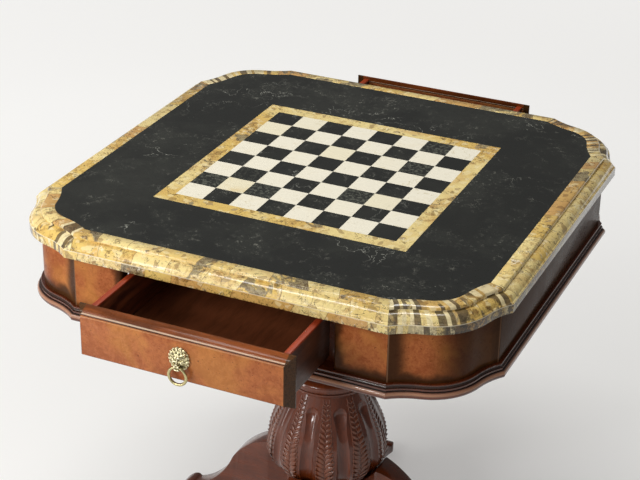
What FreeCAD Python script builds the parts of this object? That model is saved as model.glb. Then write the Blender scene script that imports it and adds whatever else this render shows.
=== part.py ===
import FreeCAD, Part, Sketcher
import math
import os
from types import SimpleNamespace

from FreeCAD import Placement, Rotation, Vector

# A square chess table in marble and burl: an inlaid top with a moulded serpentine edge, a drawer at the
# front and one at the back, and a carved baluster on four swept legs. Millimetres, +Z up; the origin is
# on the floor under the centre of the board, and the front drawer opens towards -Y.

SIZES = (
    # The top and its edge. Widths across the edge are measured outwards from the dark field.
    ("table_height", 762.0, "floor to the face of the board"),
    ("square_side", 50.8, "one square of the board"),
    ("border_width", 28.0, "ochre border round the squares"),
    ("tile_thick", 12.7, "marble slab, squares and border"),
    ("field_half", 389.0, "centre to a straight side of the dark field"),
    ("corner_width", 119.3, "sharp point where a corner starts to the side round that corner"),
    ("nose_inset", 39.0, "either side of the field to the rounded nose of a corner"),
    ("nose_radius", 62.0, "rounded nose"),
    ("sweep_radius", 160.0, "hollow on each side of the nose"),
    ("mitre_lean", 0.33, "sideways run of a mitre for each mm outwards"),
    ("edge_thick", 35.5, "depth of the stone edge"),
    ("edge_width", 43.7, "field to the outer face of the stone edge"),
    ("edge_flat", 22.5, "flat strip beside the field"),
    ("edge_arris", 7.0, "drop of the rounded arris"),
    ("edge_ovolo", 11.0, "drop of the convex slope under the arris"),
    ("edge_step", 1.6, "small step above the outer face"),
    # The frame under the top.
    ("frieze_inset", 19.3, "outer face of the stone to the frieze"),
    ("frieze_height", 119.5, "underside of the stone to the foot of the frieze"),
    ("frieze_thick", 20.0, "frieze boards"),
    ("bay_round", 5.6, "rounded edge of the frieze beside a drawer"),
    ("moulding_height", 23.0, "base moulding"),
    ("moulding_out", 14.8, "base moulding, proud of the frieze"),
    ("rail_depth", 60.0, "drawer rail, front to back"),
    ("bearer_width", 70.0, "cross bearer"),
    ("bearer_spread", 100.0, "centre of the table to the middle of a bearer"),
    ("ledge_width", 21.5, "runner ledge under a drawer side"),
    ("ledge_thick", 7.2, "runner ledge"),
    ("guide_height", 63.0, "side guide above the ledge"),
    ("kicker_thick", 8.0, "kicker over a drawer side"),
    ("divider_thick", 22.0, "centre divider"),
    # The drawers.
    ("drawer_half", 185.5, "half width of a drawer front"),
    ("bay_gap", 2.5, "gap at each end of a drawer front"),
    ("front_over", 2.0, "gap under a drawer front"),
    ("front_under", 4.0, "gap over a drawer front"),
    ("front_thick", 21.0, "drawer front, back to beads"),
    ("lip_edge", 2.6, "square edge at the back of a drawer front"),
    ("front_bevel", 11.0, "each edge of a drawer front, back to face"),
    ("thumb_drop", 4.6, "fall of the convex top edge of a drawer front"),
    ("thumb_reach", 13.2, "depth of the convex top edge of a drawer front"),
    ("quirk_drop", 0.8, "quirk between the convex edge and the beads"),
    ("side_inset", 14.5, "end of a drawer front to the drawer side"),
    ("side_thick", 10.5, "drawer sides and back"),
    ("side_drop", 4.7, "top of the front to the top of the sides"),
    ("side_play", 0.5, "drawer side to its guide, and back to the divider"),
    ("ledge_play", 0.3, "drawer side above its ledge"),
    ("floor_rise", 4.0, "underside of the sides to the drawer floor"),
    ("floor_thick", 6.0, "drawer floor"),
    ("groove_depth", 5.0, "groove that holds the drawer floor"),
    ("pull_out", 150.0, "both drawers, as they stand open"),
    # The lion-mask pulls.
    ("mask_width", 38.0, "lion mask"),
    ("mask_height", 42.0, "lion mask"),
    ("mask_depth", 6.5, "lion mask, without its muzzle"),
    ("mask_lift", 3.5, "middle of the drawer front to the middle of the mask"),
    ("muzzle_radius", 6.0, "muzzle that the ring hangs in"),
    ("muzzle_width", 7.0, "muzzle"),
    ("muzzle_drop", 11.5, "middle of the mask to the middle of the muzzle"),
    ("muzzle_out", 8.0, "drawer front to the middle of the muzzle"),
    ("mouth_radius", 3.6, "bore through the muzzle"),
    ("ring_radius", 15.0, "ring, to the middle of its wire"),
    ("ring_wire", 2.5, "radius of the ring's wire"),
    ("ring_play", 0.3, "ring to the floor of the bore that it hangs in"),
    # The pedestal.
    ("plate_half", 140.0, "mounting plate"),
    ("plate_thick", 22.0, "mounting plate"),
    ("neck_height", 368.0, "floor to the joint of column and baluster"),
    ("column_foot", 62.0, "radius of the column at the joint"),
    ("column_waist", 42.0, "radius of the column at its waist"),
    ("column_head", 78.0, "radius of the column's cap"),
    ("collar_radius", 82.0, "collar of the baluster"),
    ("collar_half", 11.0, "half the height of the collar"),
    ("throat_radius", 69.0, "baluster under its collar"),
    ("throat_height", 335.0, "floor to the throat"),
    ("shoulder_radius", 100.5, "baluster where its swelling becomes straight"),
    ("shoulder_height", 263.0, "floor to the shoulder"),
    ("belly_radius", 113.5, "baluster at its widest"),
    ("belly_height", 202.0, "floor to the widest part"),
    ("heel_radius", 72.0, "foot of the baluster"),
    ("flute_cutter", 19.0, "radius of the cutter that makes a flute"),
    ("flute_depth", 6.0, "flute at the widest part"),
    ("flute_top", 310.0, "floor to the last place of the cutter"),
    ("flute_top_radius", 94.0, "axis to the last place of the cutter"),
    ("hub_height", 150.0, "floor to the top of the hub"),
    ("hub_foot", 78.0, "floor to the underside of the hub"),
    ("hub_half", 62.0, "half the width of the hub"),
    ("hub_chamfer", 14.0, "corners of the hub"),
    ("leg_width", 56.0, "leg, side to side"),
    ("ankle_width", 36.0, "leg at its slimmest"),
    ("toe_width", 46.0, "rounded toe"),
    ("leg_reach", 312.0, "axis to the tip of a toe"),
    ("knee_height", 178.0, "floor to the top of a knee"),
    ("knee_reach", 112.0, "axis to the top of a knee"),
    ("glide_radius", 11.0, "glide"),
    ("glide_height", 4.0, "glide"),
    ("glide_reach", 284.0, "axis to the middle of a glide"),
    ("spider_radius", 102.0, "steel plate under the legs"),
    ("spider_thick", 3.0, "steel plate under the legs"),
    ("rod_radius", 6.0, "tie rod"),
    ("rod_play", 0.5, "clearance round the tie rod"),
    ("rod_spare", 4.0, "thread past each nut"),
    ("nut_half", 9.5, "tie-rod nut, across flats"),
    ("nut_thick", 10.0, "tie-rod nut"),
    ("washer_radius", 14.0, "tie-rod washer"),
    ("washer_thick", 2.5, "tie-rod washer"),
    # The wood screws.
    ("screw_radius", 2.2, "shank"),
    ("screw_head", 4.4, "head"),
    ("screw_sink", 3.0, "thickness of the head"),
    ("spider_sink", 1.5, "thickness of the head in the steel plate"),
    ("screw_play", 0.3, "clearance hole round the shank, and counterbore round the head"),
    ("screw_bite", 16.0, "length held in the second piece"),
)

SQUARES = 8
FLUTES = 10
FLUTE_TURN = -14.2
QUARTER = 90
FULL = 360
ROUND = 0.2071
PLANES = {
    "XY": Rotation(),
    "XZ": Rotation(Vector(1, 0, 0), 90),
    "YZ": Rotation(Vector(1, 1, 1), 120),
}


class Size:
    """A number together with the sheet formula that it comes from."""

    def __init__(self, value, formula=None):
        self.value = float(value)
        self.formula = formula or repr(float(value))

    def __add__(self, other):
        other = size(other)
        return Size(self.value + other.value, f"({self.formula} + {other.formula})")

    def __sub__(self, other):
        other = size(other)
        return Size(self.value - other.value, f"({self.formula} - {other.formula})")

    def __mul__(self, other):
        other = size(other)
        return Size(self.value * other.value, f"({self.formula} * {other.formula})")

    def __truediv__(self, other):
        other = size(other)
        return Size(self.value / other.value, f"({self.formula} / {other.formula})")

    def __neg__(self):
        return Size(-self.value, f"(0 - {self.formula})")

    __radd__ = __add__
    __rmul__ = __mul__


def size(thing):
    """Give a plain number the form of a Size."""
    return thing if isinstance(thing, Size) else Size(thing)


def make_sheet():
    """Write the driving dimensions into a spreadsheet and return them as named sizes."""
    sheet = DOC.addObject("Spreadsheet::Sheet", "Sizes")
    named = SimpleNamespace()
    for row, (name, value, note) in enumerate(SIZES, start=1):
        sheet.set(f"A{row}", name)
        sheet.set(f"B{row}", str(value))
        sheet.setAlias(f"B{row}", name)
        sheet.set(f"C{row}", note)
    DOC.recompute()
    for name, _, _ in SIZES:
        setattr(named, name, Size(sheet.get(name), f"Sizes.{name}"))
    return named


DOC = FreeCAD.newDocument("chess_table")
S = make_sheet()


# ---- sketches and simple solids --------------------------------------------------------------------


def bulged(start, end, bulge):
    """Middle point of an arc whose height is bulge times its chord, to the right of start to end."""
    across = (start[0] + end[0]) / 2 + (end[1] - start[1]) * bulge
    up = (start[1] + end[1]) / 2 - (end[0] - start[0]) * bulge
    return across, up


def pin(sketch, geometry, point, spot):
    """Hold one point of a sketch at its two sizes."""
    for kind, length in zip(("DistanceX", "DistanceY"), spot):
        index = sketch.addConstraint(Sketcher.Constraint(kind, -1, 1, geometry, point, length.value))
        sketch.setExpression(f"Constraints[{index}]", length.formula)


def draw(sketch, corners):
    """Draw a closed outline. A corner is (across, up) or (across, up, bulge of the edge after it)."""
    spots = [tuple(size(length) for length in corner[:2]) for corner in corners]
    bulges = [corner[2] if len(corner) == 3 else 0 for corner in corners]
    ends = []
    for here, there, bulge in zip(spots, spots[1:] + spots[:1], bulges):
        first, last = (Vector(a.value, b.value, 0) for a, b in (here, there))
        if not bulge:
            ends.append((sketch.addGeometry(Part.LineSegment(first, last), False), 1, 2))
            continue
        through = tuple(size(length) for length in bulged(here, there, bulge))
        middle = Vector(through[0].value, through[1].value, 0)
        arc = Part.Arc(first, middle, last) if bulge > 0 else Part.Arc(last, middle, first)
        edge = sketch.addGeometry(arc, False)
        mark = sketch.addGeometry(Part.Point(middle), True)
        ends.append((edge, 1, 2) if bulge > 0 else (edge, 2, 1))
        pin(sketch, mark, 1, through)
        sketch.addConstraint(Sketcher.Constraint("PointOnObject", mark, 1, edge))
    for (edge, start, _), (before, _, finish), spot in zip(ends, ends[-1:] + ends[:-1], spots):
        sketch.addConstraint(Sketcher.Constraint("Coincident", before, finish, edge, start))
        pin(sketch, edge, start, spot)


def flat_sketch(name, plane, corners):
    """A closed sketch on one of the main planes."""
    sketch = DOC.addObject("Sketcher::SketchObject", name + "_sketch")
    sketch.Placement = Placement(Vector(), PLANES[plane])
    draw(sketch, corners)
    return sketch


def extrusion(name, sketch, direction, length, both_ways=False):
    """Push a sketch along a direction."""
    solid = DOC.addObject("Part::Extrusion", name)
    solid.Base = sketch
    solid.DirMode = "Custom"
    solid.Dir = direction
    solid.Solid = True
    solid.Symmetric = both_ways
    solid.setExpression("LengthFwd", size(length).formula)
    return solid


def prism(name, corners, low, high):
    """A board with the outline of a plan, from one height to another."""
    sketch = flat_sketch(name, "XY", corners)
    sketch.setExpression("Placement.Base.z", size(low).formula)
    return extrusion(name, sketch, Vector(0, 0, 1), high - low)


def board(name, low, high):
    """A rectangular board between two corners."""
    plan = ((low[0], low[1]), (high[0], low[1]), (high[0], high[1]), (low[0], high[1]))
    return prism(name, plan, low[2], high[2])


def boolean(kind, name, *pieces):
    """Join, cut or intersect pieces."""
    result = DOC.addObject(f"Part::{kind}", name)
    if kind == "MultiFuse":
        result.Shapes = pieces
    else:
        result.Base, result.Tool = pieces
    return result


def upright(name, radius, low, high):
    """A cylinder on the vertical axis."""
    rod = DOC.addObject("Part::Cylinder", name)
    rod.setExpression("Radius", size(radius).formula)
    rod.setExpression("Height", (high - low).formula)
    rod.setExpression("Placement.Base.z", size(low).formula)
    return rod


def turn(piece, angle):
    """Turn a finished piece about the table's own axis."""
    piece.Placement = Placement(Vector(), Rotation(Vector(0, 0, 1), angle))
    return piece


def shaped(name, shape):
    """A piece whose shape is worked out in code."""
    piece = DOC.addObject("Part::Feature", name)
    piece.Shape = shape
    return piece


def body_on(name, plane, corners):
    """A PartDesign body with one sketch on one of its own planes."""
    body = DOC.addObject("PartDesign::Body", name)
    return body, body_sketch(body, plane, name + "_profile", corners)


def body_sketch(body, plane, name, corners):
    """A sketch on one of a body's own planes."""
    sketch = body.newObject("Sketcher::SketchObject", name)
    sketch.AttachmentSupport = (body_plane(body, plane), [""])
    sketch.MapMode = "FlatFace"
    draw(sketch, corners)
    return sketch


def body_plane(body, plane):
    """Find one of a body's origin planes by its role."""
    return next(item for item in body.Origin.OriginFeatures if item.Role == f"{plane}_Plane")


def turned(name, profile):
    """A body turned on a lathe about the vertical axis."""
    body, sketch = body_on(name, "XZ", profile)
    revolution = body.newObject("PartDesign::Revolution", name + "_turning")
    revolution.Profile = sketch
    revolution.ReferenceAxis = (sketch, ["V_Axis"])
    revolution.Angle = FULL
    return body, revolution


# ---- heights and offsets that several pieces share -------------------------------------------------


STONE_FOOT = S.table_height - S.edge_thick
SLAB_FOOT = S.table_height - S.tile_thick
VERTEX_HALF = S.field_half - S.corner_width
NOSE_REACH = S.field_half - S.nose_inset
FRIEZE_OUT = S.edge_width - S.frieze_inset
FRIEZE_IN = FRIEZE_OUT - S.frieze_thick
FRIEZE_FACE = S.field_half + FRIEZE_OUT
FRIEZE_BACK = S.field_half + FRIEZE_IN
FRIEZE_FOOT = STONE_FOOT - S.frieze_height
BAY_FOOT = FRIEZE_FOOT + S.moulding_height
BAY_HALF = S.drawer_half + S.bay_gap
LEDGE_TOP = BAY_FOOT + S.ledge_thick
KICKER_FOOT = STONE_FOOT - S.kicker_thick
SIDE_FACE = S.drawer_half - S.side_inset
GUIDE_FACE = SIDE_FACE + S.side_play
RUNNER_HALF = FRIEZE_FACE - S.front_thick - S.side_play * 2
BOARD_HALF = S.square_side * SQUARES / 2
BORDER_HALF = BOARD_HALF + S.border_width
PLATE_FOOT = FRIEZE_FOOT - S.plate_thick
SPIDER_FOOT = S.hub_foot - S.spider_thick


# ---- the serpentine outline ------------------------------------------------------------------------


def hollow_and_nose():
    """Centres of the hollow and of the nose for the corner at +X, +Y."""
    nose = Vector(1, 1, 0) * (NOSE_REACH.value - S.nose_radius.value / math.sqrt(2))
    vertex = Vector(VERTEX_HALF.value, S.field_half.value, 0)
    span = nose - vertex
    reach = S.sweep_radius.value
    joined = reach + S.nose_radius.value
    along = (reach**2 - joined**2 + span.Length**2) / (2 * span.Length)
    aside = math.sqrt(reach**2 - along**2)
    unit = span / span.Length
    hollow = vertex + unit * along + Vector(-unit.y, unit.x, 0) * aside
    return hollow, nose


def angle_of(vector):
    """Direction of a vector in the plan, in degrees."""
    return math.degrees(math.atan2(vector.y, vector.x))


def mitre_point(offset):
    """Where a mitre crosses the straight side that lies this far outside the field."""
    return Vector(VERTEX_HALF.value + S.mitre_lean.value * offset, S.field_half.value + offset, 0)


def hollow_start(offset):
    """Where a mitre crosses the hollow that lies this far outside the field."""
    hollow, _ = hollow_and_nose()
    lean = Vector(S.mitre_lean.value, 1, 0)
    from_hollow = mitre_point(0) - hollow
    radius = S.sweep_radius.value - offset
    square = lean.dot(lean)
    half = from_hollow.dot(lean)
    root = math.sqrt(half**2 - square * (from_hollow.dot(from_hollow) - radius**2))
    return mitre_point(0) + lean * min((-half - root) / square, (-half + root) / square, key=abs)


def across_diagonal(point):
    """Mirror a point of the +X, +Y corner in its diagonal."""
    return Vector(point.y, point.x, point.z)


def corner_edges(offset, start=None):
    """Hollow, nose and hollow of the +X, +Y corner, from one side to the other."""
    hollow, nose = hollow_and_nose()
    start = start or hollow_start(offset)
    towards = (nose - hollow).normalize()
    tangent = hollow + towards * (S.sweep_radius.value - offset)
    middle = hollow + ((start - hollow).normalize() + towards).normalize() * (S.sweep_radius.value - offset)
    crown = nose + Vector(1, 1, 0).normalize() * (S.nose_radius.value + offset)
    return [
        Part.Arc(start, middle, tangent).toShape(),
        Part.Arc(tangent, crown, across_diagonal(tangent)).toShape(),
        Part.Arc(*map(across_diagonal, (tangent, middle, start))).toShape(),
    ]


def field_face(height):
    """The whole outline of the dark field, as a face at one height."""
    edges = []
    for quarter in range(4):
        turned_by = Rotation(Vector(0, 0, 1), -QUARTER * quarter)
        after = Rotation(Vector(0, 0, 1), -QUARTER * (quarter + 1))
        for edge in corner_edges(0, mitre_point(0)):
            edge.Placement = Placement(Vector(), turned_by)
            edges.append(edge)
        corner_end = turned_by.multVec(across_diagonal(mitre_point(0)))
        next_start = after.multVec(mitre_point(0))
        edges.append(Part.LineSegment(corner_end, next_start).toShape())
    face = Part.Face(Part.Wire(Part.__sortEdges__(edges)))
    face.translate(Vector(0, 0, height))
    return face


def mitre_wedge(low, high):
    """The room of the +X, +Y corner between its two mitres."""
    inner = mitre_point(-S.edge_width.value)
    outer = mitre_point(S.edge_width.value * 3)
    far = Vector(outer.y, outer.y, 0)
    points = [inner, outer, far, across_diagonal(outer), across_diagonal(inner), inner]
    wedge = Part.Face(Part.makePolygon(points)).extrude(Vector(0, 0, high - low))
    wedge.translate(Vector(0, 0, low))
    return wedge


def profile_edges(corners):
    """Edges of a moulding's section, across along +X and up along +Z."""
    edges = []
    for here, there in zip(corners, corners[1:] + corners[:1]):
        start, end = (Vector(spot[0].value, 0, spot[1].value) for spot in (here, there))
        if len(here) == 3 and here[2]:
            through = bulged(here, there, here[2])
            edges.append(Part.Arc(start, Vector(through[0].value, 0, through[1].value), end).toShape())
        else:
            edges.append(Part.LineSegment(start, end).toShape())
    return edges


def corner_run(section):
    """Sweep a moulding's section round the +X, +Y corner. Its across is the distance from the field."""
    hollow, nose = hollow_and_nose()
    joint = angle_of(nose - hollow) % FULL
    first = angle_of(mitre_point(S.edge_width.value * 1.5) - hollow) % FULL
    nose_turn = angle_of(hollow - nose) - QUARTER / 2
    face = Part.Face(Part.Wire(profile_edges(section)))
    pieces = []
    for centre, radius, sense, start, sweep in (
        (hollow, S.sweep_radius.value, -1, first, joint - first),
        (nose, S.nose_radius.value, 1, QUARTER / 2 - nose_turn, nose_turn * 2),
    ):
        part = face.copy()
        if sense < 0:
            part = part.mirror(Vector(), Vector(1, 0, 0))
        part.translate(Vector(radius, 0, 0))
        part = part.revolve(Vector(), Vector(0, 0, 1), sweep)
        part.rotate(Vector(), Vector(0, 0, 1), start)
        part.translate(centre)
        pieces.append(part)
    pieces.append(pieces[0].mirror(Vector(), Vector(1, -1, 0)))
    run = pieces[1].fuse([pieces[0], pieces[2]])
    heights = [spot[1].value for spot in section]
    return run.common(mitre_wedge(min(heights), max(heights))).removeSplitter()


def four_corners(solid):
    """The same corner at all four corners of the table."""
    copies = []
    for quarter in range(4):
        copy = solid.copy()
        copy.rotate(Vector(), Vector(0, 0, 1), QUARTER * quarter)
        copies.append(copy)
    return copies


def straight_run(name, section, inner, outer):
    """One mitred straight length of a moulding, on the +Y side."""
    longest = VERTEX_HALF * 2 + S.mitre_lean * outer * 2
    profile = [(S.field_half + spot[0], *spot[1:]) for spot in section]
    stock = extrusion(name + "_stock", flat_sketch(name + "_section", "YZ", profile), Vector(1, 0, 0),
                      longest, both_ways=True)
    near, far = (VERTEX_HALF + S.mitre_lean * offset for offset in (inner, outer))
    side_in, side_out = S.field_half + inner, S.field_half + outer
    plan = ((-near, side_in), (near, side_in), (far, side_out), (-far, side_out))
    foot, head = FRIEZE_FOOT, S.table_height
    return stock, prism(name + "_mitres", plan, foot, head)


# ---- the top ---------------------------------------------------------------------------------------


def edge_section():
    """Section of the stone edge: flat strip, rounded arris, quirk, convex slope, small step, face."""
    arris = S.table_height - S.edge_arris
    slope_foot = arris - S.edge_ovolo
    face = S.edge_width
    return [
        (size(0), STONE_FOOT),
        (face, STONE_FOOT),
        (face, slope_foot - S.edge_step),
        (face - S.edge_step, slope_foot),
        (face - S.edge_step * 1.6, slope_foot, 0.16),
        (S.edge_flat + S.edge_step * 1.5, arris),
        (S.edge_flat + S.edge_step * 0.8, arris, 0.18),
        (S.edge_flat - S.edge_step, S.table_height),
        (size(0), S.table_height),
    ]


def make_top():
    """Core, slab, inlay and stone edge."""
    nodes = []
    core_thick = SLAB_FOOT.value - STONE_FOOT.value
    core = field_face(STONE_FOOT.value).extrude(Vector(0, 0, core_thick))
    nodes.append(shaped("top_core", core))
    slab = field_face(SLAB_FOOT.value).extrude(Vector(0, 0, S.tile_thick.value))
    window = Part.makeBox(*[BORDER_HALF.value * 2] * 2, S.tile_thick.value)
    window.translate(Vector(-BORDER_HALF.value, -BORDER_HALF.value, SLAB_FOOT.value))
    nodes.append(shaped("field_slab", slab.cut(window)))
    nodes += make_inlay()
    section = edge_section()
    stock, mitres = straight_run("edge", section, size(0), S.edge_width)
    for label, angle in (("back", 0), ("left", 90), ("front", 180), ("right", 270)):
        nodes.append(turn(boolean("Common", f"edge_{label}", stock, mitres), angle))
    corners = four_corners(corner_run(section))
    nodes.append(shaped("edge_corners", Part.makeCompound(corners)))
    return nodes


def make_inlay():
    """Border and squares, flush with the slab."""
    mitred = ((-BOARD_HALF, BOARD_HALF), (BOARD_HALF, BOARD_HALF),
              (BORDER_HALF, BORDER_HALF), (-BORDER_HALF, BORDER_HALF))
    strip = prism("border_strip", mitred, SLAB_FOOT, S.table_height)
    strips = [strip] + [turn(link_copy(strip, f"border_strip_{quarter}"), QUARTER * quarter)
                        for quarter in (1, 2, 3)]
    border = DOC.addObject("Part::Compound", "board_border")
    border.Links = strips
    tiles = {"dark_squares": [], "light_squares": []}
    side = S.square_side.value
    for column in range(SQUARES):
        for row in range(SQUARES):
            tile = Part.makeBox(side, side, S.tile_thick.value)
            tile.translate(Vector(column * side - BOARD_HALF.value, row * side - BOARD_HALF.value,
                                  SLAB_FOOT.value))
            tiles["dark_squares" if (column + row) % 2 else "light_squares"].append(tile)
    return [border] + [shaped(name, Part.makeCompound(group)) for name, group in tiles.items()]


def link_copy(piece, name):
    """A second extrusion of the same sketch."""
    return extrusion(name, piece.Base, piece.Dir, S.tile_thick)


# ---- the frame -------------------------------------------------------------------------------------


def moulding_section():
    """Section of the base moulding: torus, fillet, cove and a small bead at the top."""
    out = S.moulding_out
    foot = FRIEZE_FOOT
    tall = S.moulding_height
    return [
        (FRIEZE_OUT, foot),
        (FRIEZE_OUT + out * 0.75, foot, 0.25),
        (FRIEZE_OUT + out * 0.62, foot + tall * 0.5),
        (FRIEZE_OUT + out * 0.52, foot + tall * 0.5),
        (FRIEZE_OUT + out * 0.52, foot + tall * 0.68, -0.28),
        (FRIEZE_OUT + out * 0.28, foot + tall * 0.92),
        (FRIEZE_OUT + out * 0.4, foot + tall * 0.92, 0.3),
        (FRIEZE_OUT + out * 0.3, BAY_FOOT),
        (FRIEZE_OUT, BAY_FOOT),
    ]


def make_frieze():
    """Frieze boards, serpentine corner blocks and the base moulding."""
    nodes = []
    near, far = (VERTEX_HALF + S.mitre_lean * offset for offset in (FRIEZE_IN, FRIEZE_OUT))
    whole = ((-near, FRIEZE_BACK), (near, FRIEZE_BACK), (far, FRIEZE_FACE), (-far, FRIEZE_FACE))
    for label, angle in (("left", 90), ("right", 270)):
        nodes.append(turn(prism(f"frieze_{label}", whole, FRIEZE_FOOT, STONE_FOOT), angle))
    soft = BAY_HALF + S.bay_round
    for side, angle in (("front", 180), ("back", 0)):
        for hand, sign in (("left", -1), ("right", 1)):
            hand_here = sign if side == "back" else -sign
            plan = [(BAY_HALF, FRIEZE_BACK), (near, FRIEZE_BACK), (far, FRIEZE_FACE),
                    (soft, FRIEZE_FACE, ROUND), (BAY_HALF, FRIEZE_FACE - S.bay_round)]
            if hand_here < 0:
                plan = [(-BAY_HALF, FRIEZE_FACE - S.bay_round, ROUND), (-soft, FRIEZE_FACE),
                        (-far, FRIEZE_FACE), (-near, FRIEZE_BACK), (-BAY_HALF, FRIEZE_BACK)]
            nodes.append(turn(prism(f"frieze_{side}_{hand}", plan, FRIEZE_FOOT, STONE_FOOT), angle))
    for label, solid in zip(("back_right", "back_left", "front_left", "front_right"),
                            four_corners(corner_block())):
        nodes.append(shaped(f"corner_block_{label}", solid))
    section = moulding_section()
    stock, mitres = straight_run("moulding", section, FRIEZE_OUT, FRIEZE_OUT + S.moulding_out)
    for label, angle in (("back", 0), ("left", 90), ("front", 180), ("right", 270)):
        nodes.append(turn(boolean("Common", f"moulding_{label}", stock, mitres), angle))
    corners = four_corners(corner_run(section))
    nodes.append(shaped("moulding_corners", Part.makeCompound(corners)))
    return nodes


def corner_block():
    """Solid block of the +X, +Y corner, cut flat on its inner side."""
    arcs = corner_edges(FRIEZE_OUT.value)
    start = hollow_start(FRIEZE_OUT.value)
    inner = mitre_point(FRIEZE_IN.value)
    ends = [across_diagonal(start), across_diagonal(inner), inner, start]
    lines = [Part.LineSegment(a, b).toShape() for a, b in zip(ends, ends[1:])]
    face = Part.Face(Part.Wire(Part.__sortEdges__(arcs + lines)))
    face.translate(Vector(0, 0, FRIEZE_FOOT.value))
    return face.extrude(Vector(0, 0, S.frieze_height.value))


def make_carcase():
    """Rails, bearers, runners, divider and kickers inside the frame."""
    nodes = []
    for label, sign in (("front", -1), ("back", 1)):
        low, high = sorted((FRIEZE_FACE * sign, (FRIEZE_FACE - S.rail_depth) * sign),
                           key=lambda length: length.value)
        nodes.append(board(f"drawer_rail_{label}", (-BAY_HALF, low, FRIEZE_FOOT), (BAY_HALF, high, BAY_FOOT)))
        middle = S.bearer_spread * sign
        nodes.append(board(f"bearer_{label}", (-FRIEZE_BACK, middle - S.bearer_width / 2, FRIEZE_FOOT),
                           (FRIEZE_BACK, middle + S.bearer_width / 2, BAY_FOOT)))
    ledge_in = GUIDE_FACE - S.ledge_width
    for label, angle in (("right", 0), ("left", 180)):
        section = ((ledge_in, BAY_FOOT), (BAY_HALF, BAY_FOOT), (BAY_HALF, LEDGE_TOP + S.guide_height),
                   (GUIDE_FACE, LEDGE_TOP + S.guide_height), (GUIDE_FACE, LEDGE_TOP), (ledge_in, LEDGE_TOP))
        sketch = flat_sketch(f"runner_{label}", "XZ", section)
        nodes.append(turn(extrusion(f"runner_{label}", sketch, Vector(0, 1, 0), RUNNER_HALF * 2, True), angle))
    half = S.divider_thick / 2
    nodes.append(board("centre_divider", (-GUIDE_FACE, -half, LEDGE_TOP), (GUIDE_FACE, half, KICKER_FOOT)))
    strips = []
    for label, low, high in (("left", -BAY_HALF, -ledge_in), ("right", ledge_in, BAY_HALF)):
        strip = board(f"kicker_{label}_blank", (low, -RUNNER_HALF, KICKER_FOOT), (high, RUNNER_HALF, STONE_FOOT))
        holes = shaped(f"kicker_{label}_holes", screw_holes(kicker_screws(), KICKER_FOOT, S.screw_sink))
        strips.append(boolean("Cut", f"kicker_{label}", strip, holes))
    kickers = DOC.addObject("Part::Compound", "kickers")
    kickers.Links = strips
    nodes.append(kickers)
    return nodes


# ---- the drawers -----------------------------------------------------------------------------------

FRONT_FACE = FRIEZE_FACE + S.pull_out
FRONT_BACK = FRONT_FACE - S.front_thick
FRONT_FOOT = BAY_FOOT + S.front_over
FRONT_HEAD = STONE_FOOT - S.front_under
SIDE_FOOT = LEDGE_TOP + S.ledge_play
SIDE_HEAD = FRONT_HEAD - S.side_drop
BOX_BACK = S.divider_thick / 2 + S.side_play + S.pull_out
FLOOR_FOOT = SIDE_FOOT + S.floor_rise
FLOOR_HEAD = FLOOR_FOOT + S.floor_thick
FLOOR_HALF = SIDE_FACE - S.side_thick + S.groove_depth


def drawer_front(name):
    """A bevelled drawer front whose top edge is a thumb moulding over two beads."""
    head_face = FRONT_HEAD - S.front_bevel
    quirk = FRONT_HEAD - S.thumb_drop - S.quirk_drop
    bead = ((S.front_thick - S.thumb_reach) / 2, (quirk - head_face) / 2)
    thumb = -(FRONT_BACK + S.thumb_reach)
    section = [
        (-FRONT_BACK, FRONT_FOOT),
        (-FRONT_BACK, FRONT_HEAD),
        (-FRONT_BACK - S.lip_edge, FRONT_HEAD, -0.09),
        (thumb, FRONT_HEAD - S.thumb_drop),
        (thumb, quirk, -0.3),
        (thumb - bead[0], quirk - bead[1], -0.3),
        (-FRONT_FACE, head_face),
        (-FRONT_FACE, FRONT_FOOT + S.front_bevel),
        (-FRONT_BACK - S.lip_edge, FRONT_FOOT),
    ]
    stock = extrusion(name + "_stock", flat_sketch(name + "_section", "YZ", section), Vector(1, 0, 0),
                      S.drawer_half * 2, both_ways=True)
    narrow = S.drawer_half - S.front_bevel
    plan = ((-narrow, -FRONT_FACE), (narrow, -FRONT_FACE), (S.drawer_half, -FRONT_BACK - S.lip_edge),
            (S.drawer_half, -FRONT_BACK), (-S.drawer_half, -FRONT_BACK),
            (-S.drawer_half, -FRONT_BACK - S.lip_edge))
    blank = boolean("Common", name + "_blank", stock, prism(name + "_bevels", plan, FRONT_FOOT, FRONT_HEAD))
    groove = board(name + "_groove", (-FLOOR_HALF, -FRONT_BACK - S.groove_depth, FLOOR_FOOT),
                   (FLOOR_HALF, -FRONT_BACK, FLOOR_HEAD))
    return boolean("Cut", name, blank, groove)


def drawer_side(name, sign):
    """A drawer side with the groove for the floor."""
    low, high = sorted((SIDE_FACE * sign, (SIDE_FACE - S.side_thick) * sign), key=lambda length: length.value)
    blank = board(name + "_blank", (low, -FRONT_BACK, SIDE_FOOT), (high, -BOX_BACK, SIDE_HEAD))
    groove = board(name + "_groove", (-FLOOR_HALF, -FRONT_BACK, FLOOR_FOOT), (FLOOR_HALF, -BOX_BACK, FLOOR_HEAD))
    return boolean("Cut", name, blank, groove)


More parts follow.
